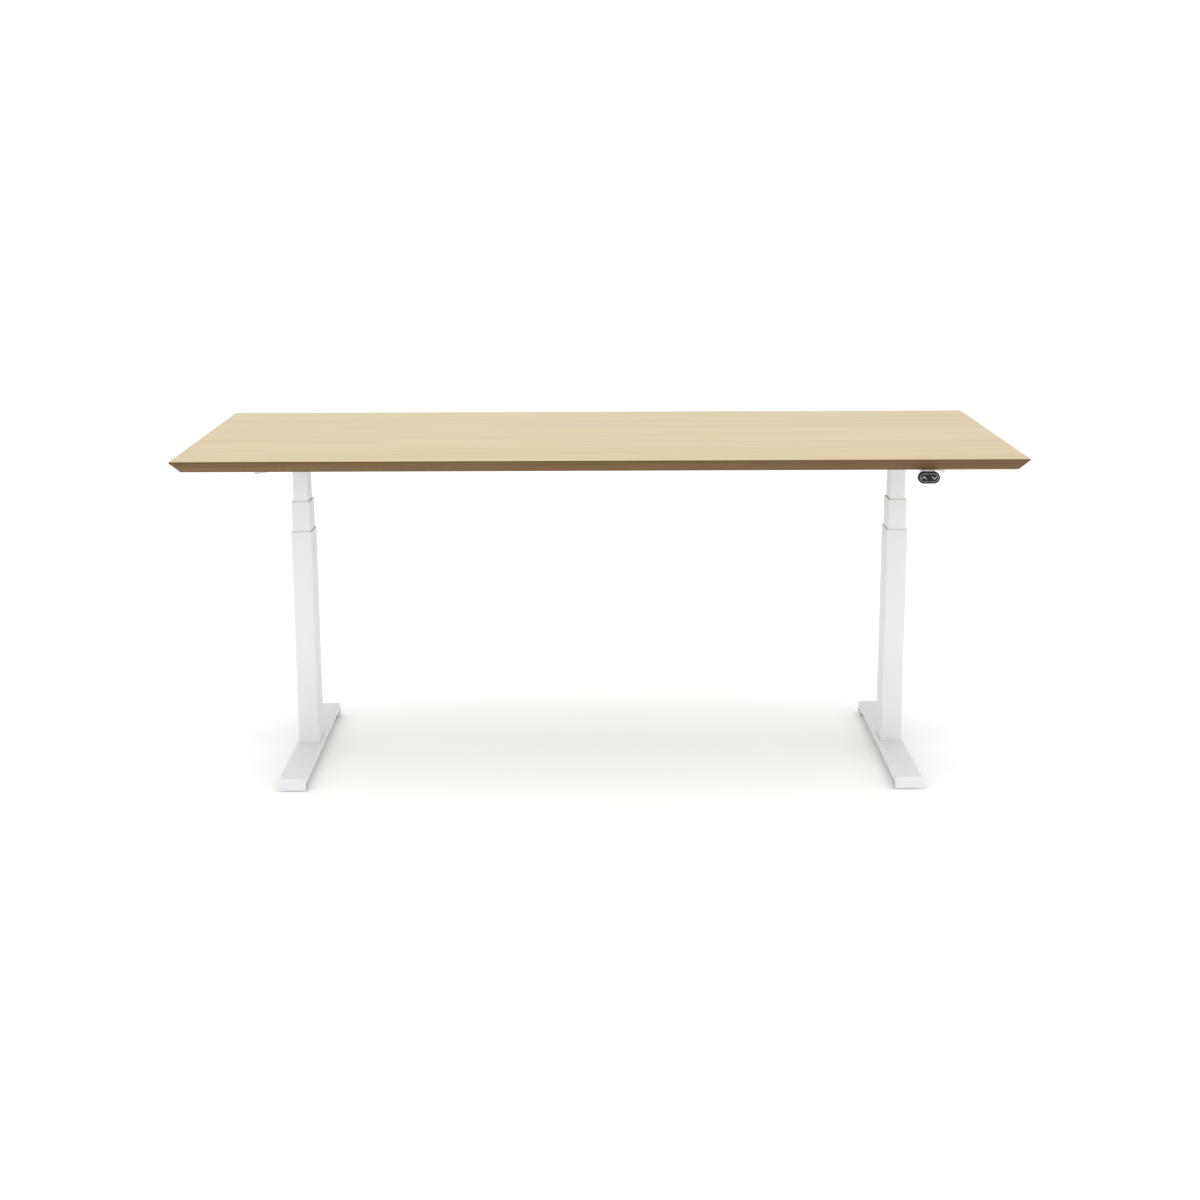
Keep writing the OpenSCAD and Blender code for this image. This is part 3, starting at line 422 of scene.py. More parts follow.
def powder_coat():
    """Steel with white polyester powder baked on: satin, with its faint orange peel."""
    material, tree, shader = new_material("White powder coat on steel")
    colours = (bpy.context.scene.desk_steel.white, "#D1D2D4")
    cloud = spots(tree, 120 * MM)
    peel = spots(tree, 1.4 * MM, 1.0)
    skin(tree, shader, cloud, colours, peel, (0.40, 0.48), 0.02 * MM, reach=0.175)
    shader.inputs["IOR"].default_value = 1.5
    return material


def moulded(name, colours, grain, depth, rough, shine=0.5):
    """Injection moulded plastic: an even colour, with the grain of an eroded mould.

    The real grain is about 0.1 mm wide and is made several times as wide, as fine as shows.
    """
    material, tree, shader = new_material(name)
    cloud = spots(tree, 30 * MM, 3.0)
    fine = spots(tree, grain)
    skin(tree, shader, cloud, colours, fine, (rough - 0.05, rough + 0.07), depth)
    shader.inputs["Specular IOR Level"].default_value = shine
    return material


def black_abs():
    """Black ABS of the handset, control box and glides: matt from a fine spark-eroded grain."""
    return moulded("Black ABS, fine moulded grain", ("#0F0F11", "#141416"),
                   grain=0.7 * MM, depth=0.02 * MM, rough=0.5, shine=0.25)


def button_abs():
    """Black ABS of the buttons: smoother than the shell, so it shines a little more."""
    return moulded("Black ABS, satin buttons", ("#101012", "#151517"),
                   grain=0.5 * MM, depth=0.006 * MM, rough=0.4, shine=0.25)


def guide_nylon():
    """Pale grey nylon of the guide rings and shoes: waxy and dull."""
    return moulded("Pale grey nylon", ("#CDCED0", "#D3D4D5"),
                   grain=0.9 * MM, depth=0.01 * MM, rough=0.5)


def pad_rubber():
    """Black rubber: very matt, with a slightly open skin."""
    return moulded("Black rubber", ("#161617", "#1E1E1F"),
                   grain=0.6 * MM, depth=0.04 * MM, rough=0.75)


def metal(name, colours, patch, grain, roughness, depth):
    """Bare or plated metal: patches shift its tint, and the grain gives its gloss and relief.

    Plated and machined skins are finer than 0.2 mm, so their grain is made as fine as shows.
    """
    material, tree, shader = new_material(name)
    shader.inputs["Metallic"].default_value = 1.0
    skin(tree, shader, spots(tree, patch, 3.0), colours, spots(tree, grain, 3.0), roughness, depth)
    return material


def zinc_plate():
    """Steel screws with bright zinc plate: cool grey, with a faint straw tint from passivation."""
    return metal("Bright zinc plate", ("#C4C7CB", "#C6C2B2"),
                 patch=4 * MM, grain=0.5 * MM, roughness=(0.24, 0.38), depth=0.01 * MM)


def turned_steel():
    """Turned and oiled steel of the screws and shafts: tool rings run round it, as fine lines."""
    return metal("Turned steel, oiled", ("#8B8D90", "#7D7C78"),
                 patch=(20 * MM, 20 * MM, 60 * MM), grain=(20 * MM, 20 * MM, 0.35 * MM),
                 roughness=(0.20, 0.36), depth=0.01 * MM)


def nut_bronze():
    """Tin bronze of the lift nuts and worm wheels: warm, with a dull machined skin."""
    return metal("Tin bronze", ("#B98D4E", "#A67C45"),
                 patch=12 * MM, grain=0.6 * MM, roughness=(0.28, 0.42), depth=0.01 * MM)


def die_cast():
    """Die cast aluminium of the gearboxes: dull grey, with flow marks and a pebbled skin."""
    return metal("Die cast aluminium", ("#A3A5A8", "#8E9093"),
                 patch=18 * MM, grain=1.2 * MM, roughness=(0.46, 0.62), depth=0.05 * MM)


def black_can():
    """Drawn steel can of the motor in thin black lacquer: smooth, with a faint grain along it.

    The real grain is about 0.1 mm wide and is made 0.6 mm wide, as fine as shows.
    """
    material, tree, shader = new_material("Black lacquered motor can")
    drawn = spots(tree, (30 * MM, 0.6 * MM, 0.6 * MM))
    skin(tree, shader, drawn, ("#2A2C2E", "#303235"), drawn, (0.30, 0.42), 0.01 * MM)
    return material


def solder_mask():
    """Circuit board: glass fibre under green solder mask, with the tracks standing out lighter."""
    material, tree, shader = new_material("Green solder mask")
    where = add(tree, "ShaderNodeTexCoord").outputs["Object"]
    track_pitch = 2.5 * MM
    scale = (1 / track_pitch, 1 / track_pitch, 1 / track_pitch)
    scaled = add(tree, "ShaderNodeMapping", {"Vector": where, "Scale": scale})
    sockets = {"Vector": scaled.outputs[0], "Scale": 1.0, "Mortar Size": 0.08}
    tracks = add(tree, "ShaderNodeTexBrick", sockets).outputs["Fac"]
    sockets = {0: tracks, 6: linear("#1B5A33"), 7: linear("#2C7A4A")}
    colour = add(tree, "ShaderNodeMix", sockets, data_type="RGBA")
    relief = add(tree, "ShaderNodeBump", {"Height": tracks, "Distance": 0.03 * MM})
    wire(tree, shader, {
        "Base Color": colour.outputs[2],
        "Roughness": 0.32,
        "Normal": relief.outputs[0],
    })
    return material


def printed_mark():
    """Light grey ink, pad printed on the buttons as the arrows: flat, and slightly uneven. On the
    ring round the buttons the same grey is a painted highlight along the gap to the rim.
    """
    colours = (bpy.context.scene.desk_handset.mark, "#939496")
    return moulded("Light grey printed ink", colours, grain=0.4 * MM, depth=0.004 * MM, rough=0.5)


def gold_contact():
    """Gold flashed contact pins: warm and bright, and hardly worn."""
    return metal("Gold flashed contacts", ("#D8B45E", "#C9A650"),
                 patch=2 * MM, grain=0.3 * MM, roughness=(0.18, 0.3), depth=0.004 * MM)


FINISHES = {
    "wood_veneer": top_veneer,
    "bevel_x": lambda: bevel_wood("X"),
    "bevel_y": lambda: bevel_wood("Y"),
    "rim_x": lambda: rim_wood("X"),
    "rim_y": lambda: rim_wood("Y"),
    "backing": backing_veneer,
    "white_steel": powder_coat,
    "zinc_steel": zinc_plate,
    "bright_steel": turned_steel,
    "bronze": nut_bronze,
    "grey_plastic": guide_nylon,
    "black_plastic": black_abs,
    "button_plastic": button_abs,
    "rubber": pad_rubber,
    "circuit_board": solder_mask,
    "cast_aluminium": die_cast,
    "motor_steel": black_can,
    "mark": printed_mark,
    "contact": gold_contact,
}
finished = {}


def finish(name):
    """One of the finishes above, made when it is first asked for."""
    if name not in finished:
        finished[name] = FINISHES[name]()
    return finished[name]


# ---- Settings ----


class WorktopSettings(bpy.types.PropertyGroup):
    """Sizes and colours of the worktop"""

    arris: FloatProperty(
        name="Arris", description="Radius of the rounded upper edge",
        default=0.5 * MM, min=0.1 * MM, max=1 * MM, unit="LENGTH",
    )
    edge_height: FloatProperty(
        name="Edge height", description="Height of the upright edge, with the veneer",
        default=3 * MM, min=2 * MM, max=10 * MM, unit="LENGTH",
    )
    bevel_run: FloatProperty(
        name="Bevel", description="How far the bevel under the edge runs inwards",
        default=20 * MM, min=2 * MM, max=60 * MM, unit="LENGTH",
    )
    pale: StringProperty(
        name="Pale grain", description="Lightest tone of the veneer", default="#C7B78D",
    )
    dark: StringProperty(
        name="Dark grain", description="Darkest tone of the veneer", default="#BAA882",
    )
    edge: StringProperty(
        name="Edge", description="Lightest tone of the stained bevel", default="#755935",
    )
    edge_dark: StringProperty(
        name="Dark edge", description="Darkest tone of the stained bevel", default="#604625",
    )
    rim: StringProperty(
        name="Rim", description="Lightest tone of the stained upright edge", default="#5C4829",
    )
    rim_dark: StringProperty(
        name="Dark rim", description="Darkest tone of the stained upright edge", default="#4B3A1D",
    )


class SteelSettings(bpy.types.PropertyGroup):
    """Sizes and colour of the painted steel"""

    white: StringProperty(
        name="White", description="Colour of the powder coat", default="#D8D9DA",
    )
    tube_wall: FloatProperty(
        name="Tube wall", description="Wall of the lifting tubes",
        default=1.5 * MM, min=1 * MM, max=3 * MM, unit="LENGTH",
    )
    tube_radius: FloatProperty(
        name="Tube corner", description="Outside corner radius of the lifting tubes",
        default=3 * MM, min=2 * MM, max=8 * MM, unit="LENGTH",
    )
    foot_wall: FloatProperty(
        name="Foot wall", description="Thickness of the feet",
        default=3 * MM, min=1 * MM, max=5 * MM, unit="LENGTH",
    )
    foot_radius: FloatProperty(
        name="Foot bend", description="Outside radius of the bend along each side of a foot",
        default=4 * MM, min=2 * MM, max=8 * MM, unit="LENGTH",
    )
    foot_flange: FloatProperty(
        name="Foot flange", description="Height of the flange along each side of a foot",
        default=14 * MM, min=5 * MM, max=20 * MM, unit="LENGTH",
    )
    sheet_edge: FloatProperty(
        name="Sheet edge", description="Radius that paint leaves on a cut sheet edge",
        default=0.4 * MM, min=0.1 * MM, max=1 * MM, unit="LENGTH",
    )


class HandsetSettings(bpy.types.PropertyGroup):
    """Sizes and colours of the handset"""

    rim: FloatProperty(
        name="Rim", description="Width of the rim around the buttons",
        default=3.1 * MM, min=2 * MM, max=6 * MM, unit="LENGTH",
    )
    rim_radius: FloatProperty(
        name="Rim rounding", description="Rounding of the shell's front edge",
        default=1.6 * MM, min=0.5 * MM, max=2.2 * MM, unit="LENGTH",
    )
    # The ring is a painted highlight: a light grey band round the buttons where they meet the rim
    ring: FloatProperty(
        name="Painted highlight ring", description="Width of the painted highlight ring around the buttons",
        default=0.8 * MM, min=0.4 * MM, max=1.2 * MM, unit="LENGTH",
    )
    arrow_width: FloatProperty(
        name="Arrow width", description="Width of the arrow on each button",
        default=10.5 * MM, min=5 * MM, max=14 * MM, unit="LENGTH",
    )
    arrow_height: FloatProperty(
        name="Arrow height", description="Rise of the arrow on each button",
        default=5.5 * MM, min=3 * MM, max=9 * MM, unit="LENGTH",
    )
    arrow_line: FloatProperty(
        name="Arrow line", description="Thickness of the arrow's line",
        default=1.7 * MM, min=0.8 * MM, max=2.5 * MM, unit="LENGTH",
    )
    # Also the colour of the highlight painted as a ring round the buttons
    mark: StringProperty(
        name="Mark", description="Colour of the arrows and the ring", default="#A2A3A5",
    )


class StageSettings(bpy.types.PropertyGroup):
    """Camera, light and floor"""

    lens: FloatProperty(
        name="Lens", description="Focal length in millimetres on a 36 mm sensor",
        default=59.0, min=20, max=200,
    )
    camera_place: FloatVectorProperty(
        name="Camera", description="Where the camera stands",
        default=(-0.0157, -4.4665, 1.3727), subtype="XYZ", unit="LENGTH",
    )
    camera_turn: FloatVectorProperty(
        name="Camera turn", description="How the camera is turned",
        default=(math.radians(77.238), math.radians(0.175), math.radians(-0.252)),
        subtype="EULER", unit="ROTATION",
    )
    sky: FloatProperty(
        name="Sky", description="Brightness of the white surroundings", default=1.02, min=0, max=3,
    )
    overhead: FloatProperty(
        name="Overhead light", description="Power of the large soft light above",
        default=190, min=0, max=2000, unit="POWER",
    )
    front: FloatProperty(
        name="Front lights", description="Power of each soft light in front",
        default=105, min=0, max=2000, unit="POWER",
    )
    floor: StringProperty(name="Floor", description="Colour of the floor", default="#FCFDFE")


# ---- Worktop ----


def rim_side(normal):
    """1 for an upright face that runs along X, 2 for one along Y and 0 for any other."""
    if abs(normal.z) > 0.3:
        return 0
    return 1 if abs(normal.y) > abs(normal.x) else 2


def board_side(normal):
    """0 for the underside, 1 or 2 for the upright rim and 3 or 4 for the bevel, along X or Y."""
    if normal.z < -0.95:
        return 0
    return rim_side(normal) or (4 if abs(normal.x) > abs(normal.y) else 3)


def make_worktop():
    """Models the veneer and the board under it with its upright edge and long bevel."""
    look = bpy.context.scene.desk_worktop
    veneer_low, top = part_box("worktop_surface")
    veneer = cube("veneer", veneer_low, top)
    with editing(veneer) as mesh:
        pick_edges(mesh, lambda at, way: near(at.z, top.z))
        bpy.ops.mesh.bevel(offset=look.arris, segments=3)
    paint_faces(veneer, ("wood_veneer", "rim_x", "rim_y"), lambda at, out: rim_side(out))
    dress(veneer, "top", "wood_veneer", ["worktop_surface"])

    low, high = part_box("worktop_core")
    edge_low = top.z - look.edge_height
    board = cube("board", (low.x, low.y, edge_low), high)
    with editing(board) as mesh:
        pick_faces(mesh, lambda at, out: looks(out, -Z))
        drop = (0, 0, low.z - edge_low)
        bpy.ops.mesh.extrude_region_move(TRANSFORM_OT_translate={"value": drop})
        narrower = [1 - 2 * look.bevel_run / (high[i] - low[i]) for i in (0, 1)]
        bpy.ops.transform.resize(value=(*narrower, 1), center_override=(0, 0, low.z))
        # All edges but the upper ones, which the veneer covers
        pick_edges(mesh, lambda at, way: at.z < high.z - SAME_PLACE)
        bpy.ops.mesh.bevel(offset=look.arris, segments=2)
        bpy.ops.mesh.select_all(action="SELECT")
        bpy.ops.mesh.normals_make_consistent(inside=False)
    names = ("backing", "rim_x", "rim_y", "bevel_x", "bevel_y")
    paint_faces(board, names, lambda at, out: board_side(out))
    dress(board, "top", "stained_edge", ["worktop_core"])


# ---- Columns ----


def both_sides(piece, body, slot, node):
    """Finishes a piece of the left column and its mirrored copy on the right."""
    for one in (piece, on_other_side(piece)):
        side = "left" if one is piece else "right"
        dress(one, body.replace("left", side), slot, [node.replace("left", side)])


def make_tube(stage):
    """Models one lifting tube: a square tube with round corners and open ends."""
    look = bpy.context.scene.desk_steel
    low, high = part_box("left_" + stage + "_tube")
    tube = cube("left_" + stage + "_tube_piece", low, high)
    with editing(tube) as mesh:
        pick_edges(mesh, lambda at, way: runs_along(way, Z))
        bpy.ops.mesh.bevel(offset=look.tube_radius, segments=8)
        pick_faces(mesh, lambda at, out: looks(out, Z) or looks(out, -Z))
        bpy.ops.mesh.delete(type="FACE")
    modify(tube, "SOLIDIFY", thickness=look.tube_wall, offset=-1)
    soften(tube, look.sheet_edge)
    return tube


def make_columns():
    """Models the three nested tubes of each column, with the guide rings at their rims."""
    for stage, body in (("outer", "left_base"), ("mid", "left_mid"), ("inner", "top")):
        both_sides(make_tube(stage), body, "white_steel", "left_" + stage + "_tube")
    for side in SIDES:
        dress_cad(side + "_outer_guide", side + "_base", "grey_plastic", 0.2 * MM)
        dress_cad(side + "_mid_guide", side + "_mid", "grey_plastic", 0.2 * MM)


# ---- Fasteners ----

# Width and height of the head, width of the shank and length below the head
ScrewSize = namedtuple("ScrewSize", "head height shank length")
FRAME_BOLT = ScrewSize(head=10.5 * MM, height=3 * MM, shank=6 * MM, length=10 * MM)
FOOT_BOLT = ScrewSize(head=13 * MM, height=5 * MM, shank=8 * MM, length=13 * MM)
WOOD_SCREW = ScrewSize(head=10 * MM, height=3 * MM, shank=5 * MM, length=18 * MM)
# Outlines of the heads from the top down: (share of the height, share of the width)
BUTTON_HEAD = ((0, 0.30), (0.15, 0.38), (0.45, 0.46), (0.75, 0.5), (1, 0.5))
PAN_HEAD = ((0, 0.26), (0.2, 0.40), (0.55, 0.48), (0.8, 0.5), (1, 0.5))
# How far a cutter stands out of what it cuts
OVERCUT = 1 * MM


def cut_out(piece, cutter):
    """Cuts the cutter's shape out of a piece and deletes the cutter."""
    modify(piece, "BOOLEAN", object=cutter, operation="DIFFERENCE", solver="EXACT")
    mesh = cutter.data
    bpy.data.objects.remove(cutter)
    bpy.data.meshes.remove(mesh)


def turned_screw(name, outline, size, point, tip):
    """Turns a screw that points up, with its head's underside at the origin.

    Over the length of its point the shank narrows to the tip's radius.
    """
    rise, radius, end = size.height, size.shank / 2, size.height + size.length
    return turned(name, (0, 0, -rise), Z, [
        *((up * rise, out * size.head) for up, out in outline),
        (rise, radius),
        (end - point, radius),
        (end, tip),
    ], sides=32)


def make_bolt(size):
    """Models a button head bolt with a hexagon socket."""
    chamfer = 0.6 * MM
    bolt = turned_screw("bolt", BUTTON_HEAD, size, chamfer, size.shank / 2 - chamfer)
    wide, narrow = 0.36 * size.shank, 0.05 * size.shank
    socket = turned("socket", (0, 0, -size.height - OVERCUT), Z, [
        (0, wide),
        (OVERCUT + 0.62 * size.height, wide),
        (OVERCUT + 0.8 * size.height, narrow),
    ], sides=6)
    cut_out(bolt, socket)
    return bolt


def make_wood_screw(size):
    """Models a pan head wood screw with a cross recess."""
    screw = turned_screw("wood_screw", PAN_HEAD, size, point=4 * MM, tip=0.2 * MM)
    long, narrow = 0.24 * size.head, 0.06 * size.head
    top, bottom = -size.height - OVERCUT, -0.35 * size.height
    for x, y in ((long, narrow), (narrow, long)):
        cut_out(screw, cube("recess", (-x, -y, top), (x, y, bottom)))
    return screw


def loose_solids(node):
    """The corner points of each loose solid of a CAD node."""
    mesh = bmesh.new()
    mesh.from_mesh(frame["nodes"][node].data)
    bmesh.ops.remove_doubles(mesh, verts=mesh.verts, dist=SAME_CORNER)
    left = set(mesh.verts)
    solids = []
    for first in mesh.verts:
        if first not in left:
            continue
        left.remove(first)
        found, waiting = [], [first]
        while waiting:
            vertex = waiting.pop()
            found.append(vertex.co.copy())
            linked = {edge.other_vert(vertex) for edge in vertex.link_edges} & left
            left -= linked
            waiting.extend(linked)
        solids.append(found)
    mesh.free()
    return solids


def extent(points):
    """Lowest and highest corner of the box round some points."""
    return (
        Vector([min(p[i] for p in points) for i in range(3)]),
        Vector([max(p[i] for p in points) for i in range(3)]),
    )


def screw_places(node, head_height):
    """A matrix for each screw of a CAD node, which puts a screw from the origin in its place."""
    places = []
    for points in loose_solids(node):
        low, high = extent(points)
        middle = (low + high) / 2
        axis = max(range(3), key=lambda i: high[i] - low[i])
        along = Matrix.Identity(3)[axis]
        widest = max(points, key=lambda p: (p - middle - (p - middle)[axis] * along).length)
        points_up = widest[axis] < middle[axis]
        way = along * (1 if points_up else -1)
        seat = middle.copy()
        seat[axis] = low[axis] + head_height if points_up else high[axis] - head_height
        places.append(Matrix.Translation(seat) @ way.to_track_quat("Z", "Y").to_matrix().to_4x4())
    return places


def put_screws(screw, node, body, size):
    """Copies one screw to every place that a CAD node gives and makes one piece of them."""
    name = node + "_piece"
    copies = [copied(screw, name, place) for place in screw_places(node, size.height)]
    dress(join(copies, name), body, "zinc_steel", [node])


def make_fasteners():
    """Models one bolt, one foot bolt and one wood screw, and copies them to all their places."""
    bolt = make_bolt(FRAME_BOLT)
    put_screws(bolt, "frame_bolts", "top", FRAME_BOLT)
    foot_bolt = make_bolt(FOOT_BOLT)
    for side in SIDES:
        put_screws(foot_bolt, side + "_foot_bolts", side + "_base", FOOT_BOLT)
    wood_screw = make_wood_screw(WOOD_SCREW)
    put_screws(wood_screw, "worktop_screws", "top", WOOD_SCREW)
    for master in (bolt, foot_bolt, wood_screw):
        bpy.data.objects.remove(master)


# ---- Feet ----

# Height of a glide's pad, below its stem
PAD_HEIGHT = 8 * MM


def make_boss(end, ceiling):
    """Models the boss that takes a glide's stem, with its weld to the foot's plate above."""
    low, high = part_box("left_" + end + "_glide")
    middle = (low + high) / 2
    start = Vector((middle.x, middle.y, low.z + PAD_HEIGHT))
    height = ceiling - start.z
    bore, radius, chamfer, weld = 4.3 * MM, 8 * MM, 0.6 * MM, 2 * MM
    return turned("boss", start, Z, [
        (0, bore),
        (0, radius - chamfer),
        (chamfer, radius),
        (height - weld, radius),
        (height - weld / 4, radius + 0.3 * weld),
        (height + weld / 4, radius + weld),
    ])


def make_foot():
    """Models a folded foot: a channel with flanges, full end plates and a boss for each glide."""
    look = bpy.context.scene.desk_steel
    low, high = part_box("left_foot")
    flange_low = high.z - look.foot_flange
    foot = cube("left_foot_piece", low, high)
    with editing(foot) as mesh:
        pick_edges(mesh, lambda at, way: runs_along(way, Y) and near(at.z, high.z))
        bpy.ops.mesh.bevel(offset=look.foot_radius, segments=8)
        # The second cut, just below the flanges, keeps the wall of the end plates even under it
        for cut_z in (flange_low, flange_low - 0.5 * MM):
            bpy.ops.mesh.select_all(action="SELECT")
            bpy.ops.mesh.bisect(plane_co=(0, 0, cut_z), plane_no=Z)
        pick_faces(mesh, lambda at, out: looks(out, -Z) or runs_along(out, X) and at.z < flange_low)
        bpy.ops.mesh.delete(type="FACE")
    modify(foot, "SOLIDIFY", thickness=look.foot_wall, offset=-1, use_even_offset=True)
    soften(foot, look.sheet_edge)
    bosses = [make_boss(end, high.z - look.foot_wall) for end in ENDS]
    return join([foot, *bosses], foot.name)


def make_glide(end):
    """Models a screw-in glide: a ribbed pad with a sloped top, a stem and a hollow underside."""
    low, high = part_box("left_" + end + "_glide")
    middle = (low + high) / 2
    rim, height = (high.x - low.x) / 2, high.z - low.z
    sides, hollow, stem, chamfer = 72, 1.2 * MM, 4 * MM, 0.5 * MM
    rib_margin, groove = 0.3 * MM, 0.6 * MM
    glide = turned("left_" + end + "_glide_piece", (middle.x, middle.y, low.z), Z, [
        # The hollow, and the ring around it that stands on the floor
        (hollow, rim - 7 * MM), (hollow, rim - 5 * MM), (0, rim - 4.4 * MM), (0, rim - 1.2 * MM),
        # The rim that carries the ribs, and the slope above it
        (0.8 * MM, rim), (5.3 * MM, rim), (5.7 * MM, rim - 0.3 * MM), (PAD_HEIGHT, rim - 2.6 * MM),
        # The stem
        (PAD_HEIGHT, stem), (height - chamfer, stem), (height, stem - chamfer),
    ], sides=sides)

    def between_ribs(at, out):
        """True for each third face around the rim."""
        turn = math.atan2(at.y - middle.y, at.x - middle.x) / math.tau * sides
        on_rim = abs(out.z) < 0.1 and (at.xy - middle.xy).length > rim - 1 * MM
        return on_rim and math.floor(turn) % 3 == 0

    with editing(glide) as mesh:
        pick_faces(mesh, between_ribs)
        bpy.ops.mesh.inset(thickness=rib_margin, depth=-groove, use_individual=True)
    return glide


def make_feet():
    """Models both feet and their glides."""
    both_sides(make_foot(), "left_base", "white_steel", "left_foot")
    for end in ENDS:
        node = "left_" + end + "_glide"
        both_sides(make_glide(end), node, "black_plastic", node)


# ---- Frame under the top ----


def make_frame():
    """Softens the folded rails, brackets and rubber pads as bending and painting leave them."""
    edge = bpy.context.scene.desk_steel.sheet_edge
    dress_cad("centre_rails", "top", "white_steel", edge)
    for side in SIDES:
        for node in ("_end_rails", "_side_bracket", "_head_bracket"):
            dress_cad(side + node, "top", "white_steel", edge)
    dress_cad("rail_pads", "top", "rubber", 0.4 * MM)


# ---- Drives and control box ----

# Contact pins of a socket: place along X and Z in shares of it, half their width and height
LEAD_PINS = [(0.2 + 0.12 * k, z, 0.3 * MM, 0.3 * MM) for k in range(6) for z in (0.38, 0.62)]
MAINS_PINS = [(x, z, 1 * MM, 2 * MM) for x, z in ((0.28, 0.4), (0.5, 0.62), (0.72, 0.4))]
# Sockets of the circuit board: place along X, width, height and pins
SOCKETS = (
    *((x * MM, 16 * MM, 12 * MM, LEAD_PINS) for x in (-110, -80, -50, -20)),
    (110 * MM, 28 * MM, 20 * MM, MAINS_PINS),
)
SOCKET_DEPTH = 16.5 * MM
# Outline of a capacitor's can, with the groove that holds its lid
CAPACITOR = (
    (0, 7.6 * MM), (0.4 * MM, 8 * MM), (1.6 * MM, 8 * MM), (2.2 * MM, 7.3 * MM),
    (2.8 * MM, 7.3 * MM), (3.4 * MM, 8 * MM), (15.4 * MM, 8 * MM), (16 * MM, 7.4 * MM),
    (16 * MM, 6.4 * MM), (15.7 * MM, 6.2 * MM),
)


def make_drives():
    """Softens the cast gearboxes and the motors."""
    for side in SIDES:
        dress_cad(side + "_gearbox", "top", "cast_aluminium", 0.6 * MM)
        dress_cad(side + "_motor", "top", "motor_steel", 0.5 * MM)


def make_socket(low, high, pins):
    """Models a socket with contact pins in a cavity that opens to the back."""
    wall, cavity, pin_foot, pin_tip = 1.6 * MM, 9 * MM, 10 * MM, 2 * MM
    socket = cube("socket", low, high)
    with editing(socket) as mesh:
        pick_faces(mesh, lambda at, out: looks(out, Y))
        bpy.ops.mesh.inset(thickness=wall)
        bpy.ops.mesh.extrude_region_move(TRANSFORM_OT_translate={"value": (0, -cavity, 0)})
    soften(socket, 0.3 * MM)
    paint_faces(socket, ("black_plastic", "contact"), lambda at, out: 0)
    for across, up, width, height in pins:
        x, z = low.x + across * (high.x - low.x), low.z + up * (high.z - low.z)
        pin = cube(
            "pin",
            (x - width, high.y - pin_foot, z - height),
            (x + width, high.y - pin_tip, z + height),
        )
        soften(pin, 0.2 * MM)
        paint_faces(pin, ("black_plastic", "contact"), lambda at, out: 1)
        socket = join([socket, pin], "socket")
    return socket


def make_control_board():
    """Models the circuit board with the transformer, capacitors and sockets that hang under it."""
    low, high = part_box("control_board")
    thickness, depth, corner = 1.6 * MM, 92 * MM, 2 * MM
    under = high.z - thickness
    board = cube("circuit_board_piece", (low.x, low.y, under), (high.x, low.y + depth, high.z))
    with editing(board) as mesh:
        pick_edges(mesh, lambda at, way: runs_along(way, Z))
        bpy.ops.mesh.bevel(offset=corner, segments=4)
    soften(board, 0.2 * MM)
    dress(board, "top", "circuit_board", ["control_board"])

    sockets = [
        make_socket(
            Vector((x - width / 2, high.y - SOCKET_DEPTH, under - height)),
            Vector((x + width / 2, high.y, under)),
            pins,
        )
        for x, width, height, pins in SOCKETS
    ]
    dress(join(sockets, "sockets"), "top", "black_plastic", ["control_board"])

    left, front, side, height = -110 * MM, low.y + 2 * MM, 44 * MM, 17 * MM
    transformer = cube(
        "transformer", (left, front, under - height), (left + side, front + side, under)
    )
    core, step = 7 * MM, 2.5 * MM
    with editing(transformer) as mesh:
        pick_faces(mesh, lambda at, out: looks(out, -Z))
        bpy.ops.mesh.inset(thickness=core)
        bpy.ops.mesh.extrude_region_move(TRANSFORM_OT_translate={"value": (0, 0, step)})
    soften(transformer, 0.8 * MM, 3)
    dress(transformer, "top", "motor_steel", ["control_board"])

    cans = [
        turned("can", (x * MM, low.y + 30 * MM, under), -Z, CAPACITOR) for x in (-44, -22, 0)
    ]
    dress(join(cans, "capacitors"), "top", "button_plastic", ["control_board"])


def make_control_box():
    """Softens the moulded control box and models what it holds."""
    dress_cad("control_box_base", "top", "black_plastic", 0.4 * MM)
    dress_cad("control_box_cover", "top", "black_plastic", 0.6 * MM)
    make_control_board()


# ---- Handset ----


def pill_block(name, low, high):
    """A block along Y with half-round ends."""
    flat = 0.01 * MM
    piece = cube(name, low, high)
    with editing(piece) as mesh:
        pick_edges(mesh, lambda at, way: runs_along(way, Y))
        bpy.ops.mesh.bevel(offset=(high[2] - low[2]) / 2 - flat, segments=16)
        bpy.ops.mesh.select_all(action="SELECT")
        bpy.ops.mesh.remove_doubles(threshold=3 * flat)
    return piece


def make_shell():
    """Models the handset's shell: a pill-shaped tube with a rounded rim round the buttons."""
    look = bpy.context.scene.desk_handset
    wall = 2 * MM
    low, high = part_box("handset_shell")
    shell = pill_block("handset_shell_piece", low, high)
    with editing(shell) as mesh:
        pick_edges(mesh, lambda at, way: near(at.y, low.y))
        bpy.ops.mesh.bevel(offset=look.rim_radius, segments=5)
        pick_faces(mesh, lambda at, out: looks(out, Y))
        bpy.ops.mesh.delete(type="FACE")
        pick_faces(mesh, lambda at, out: looks(out, -Y))
        bpy.ops.mesh.inset(thickness=look.rim - look.rim_radius)
        bpy.ops.mesh.delete(type="FACE")
    modify(shell, "SOLIDIFY", thickness=wall, offset=-1)
    soften(shell, 0.25 * MM)
    return shell


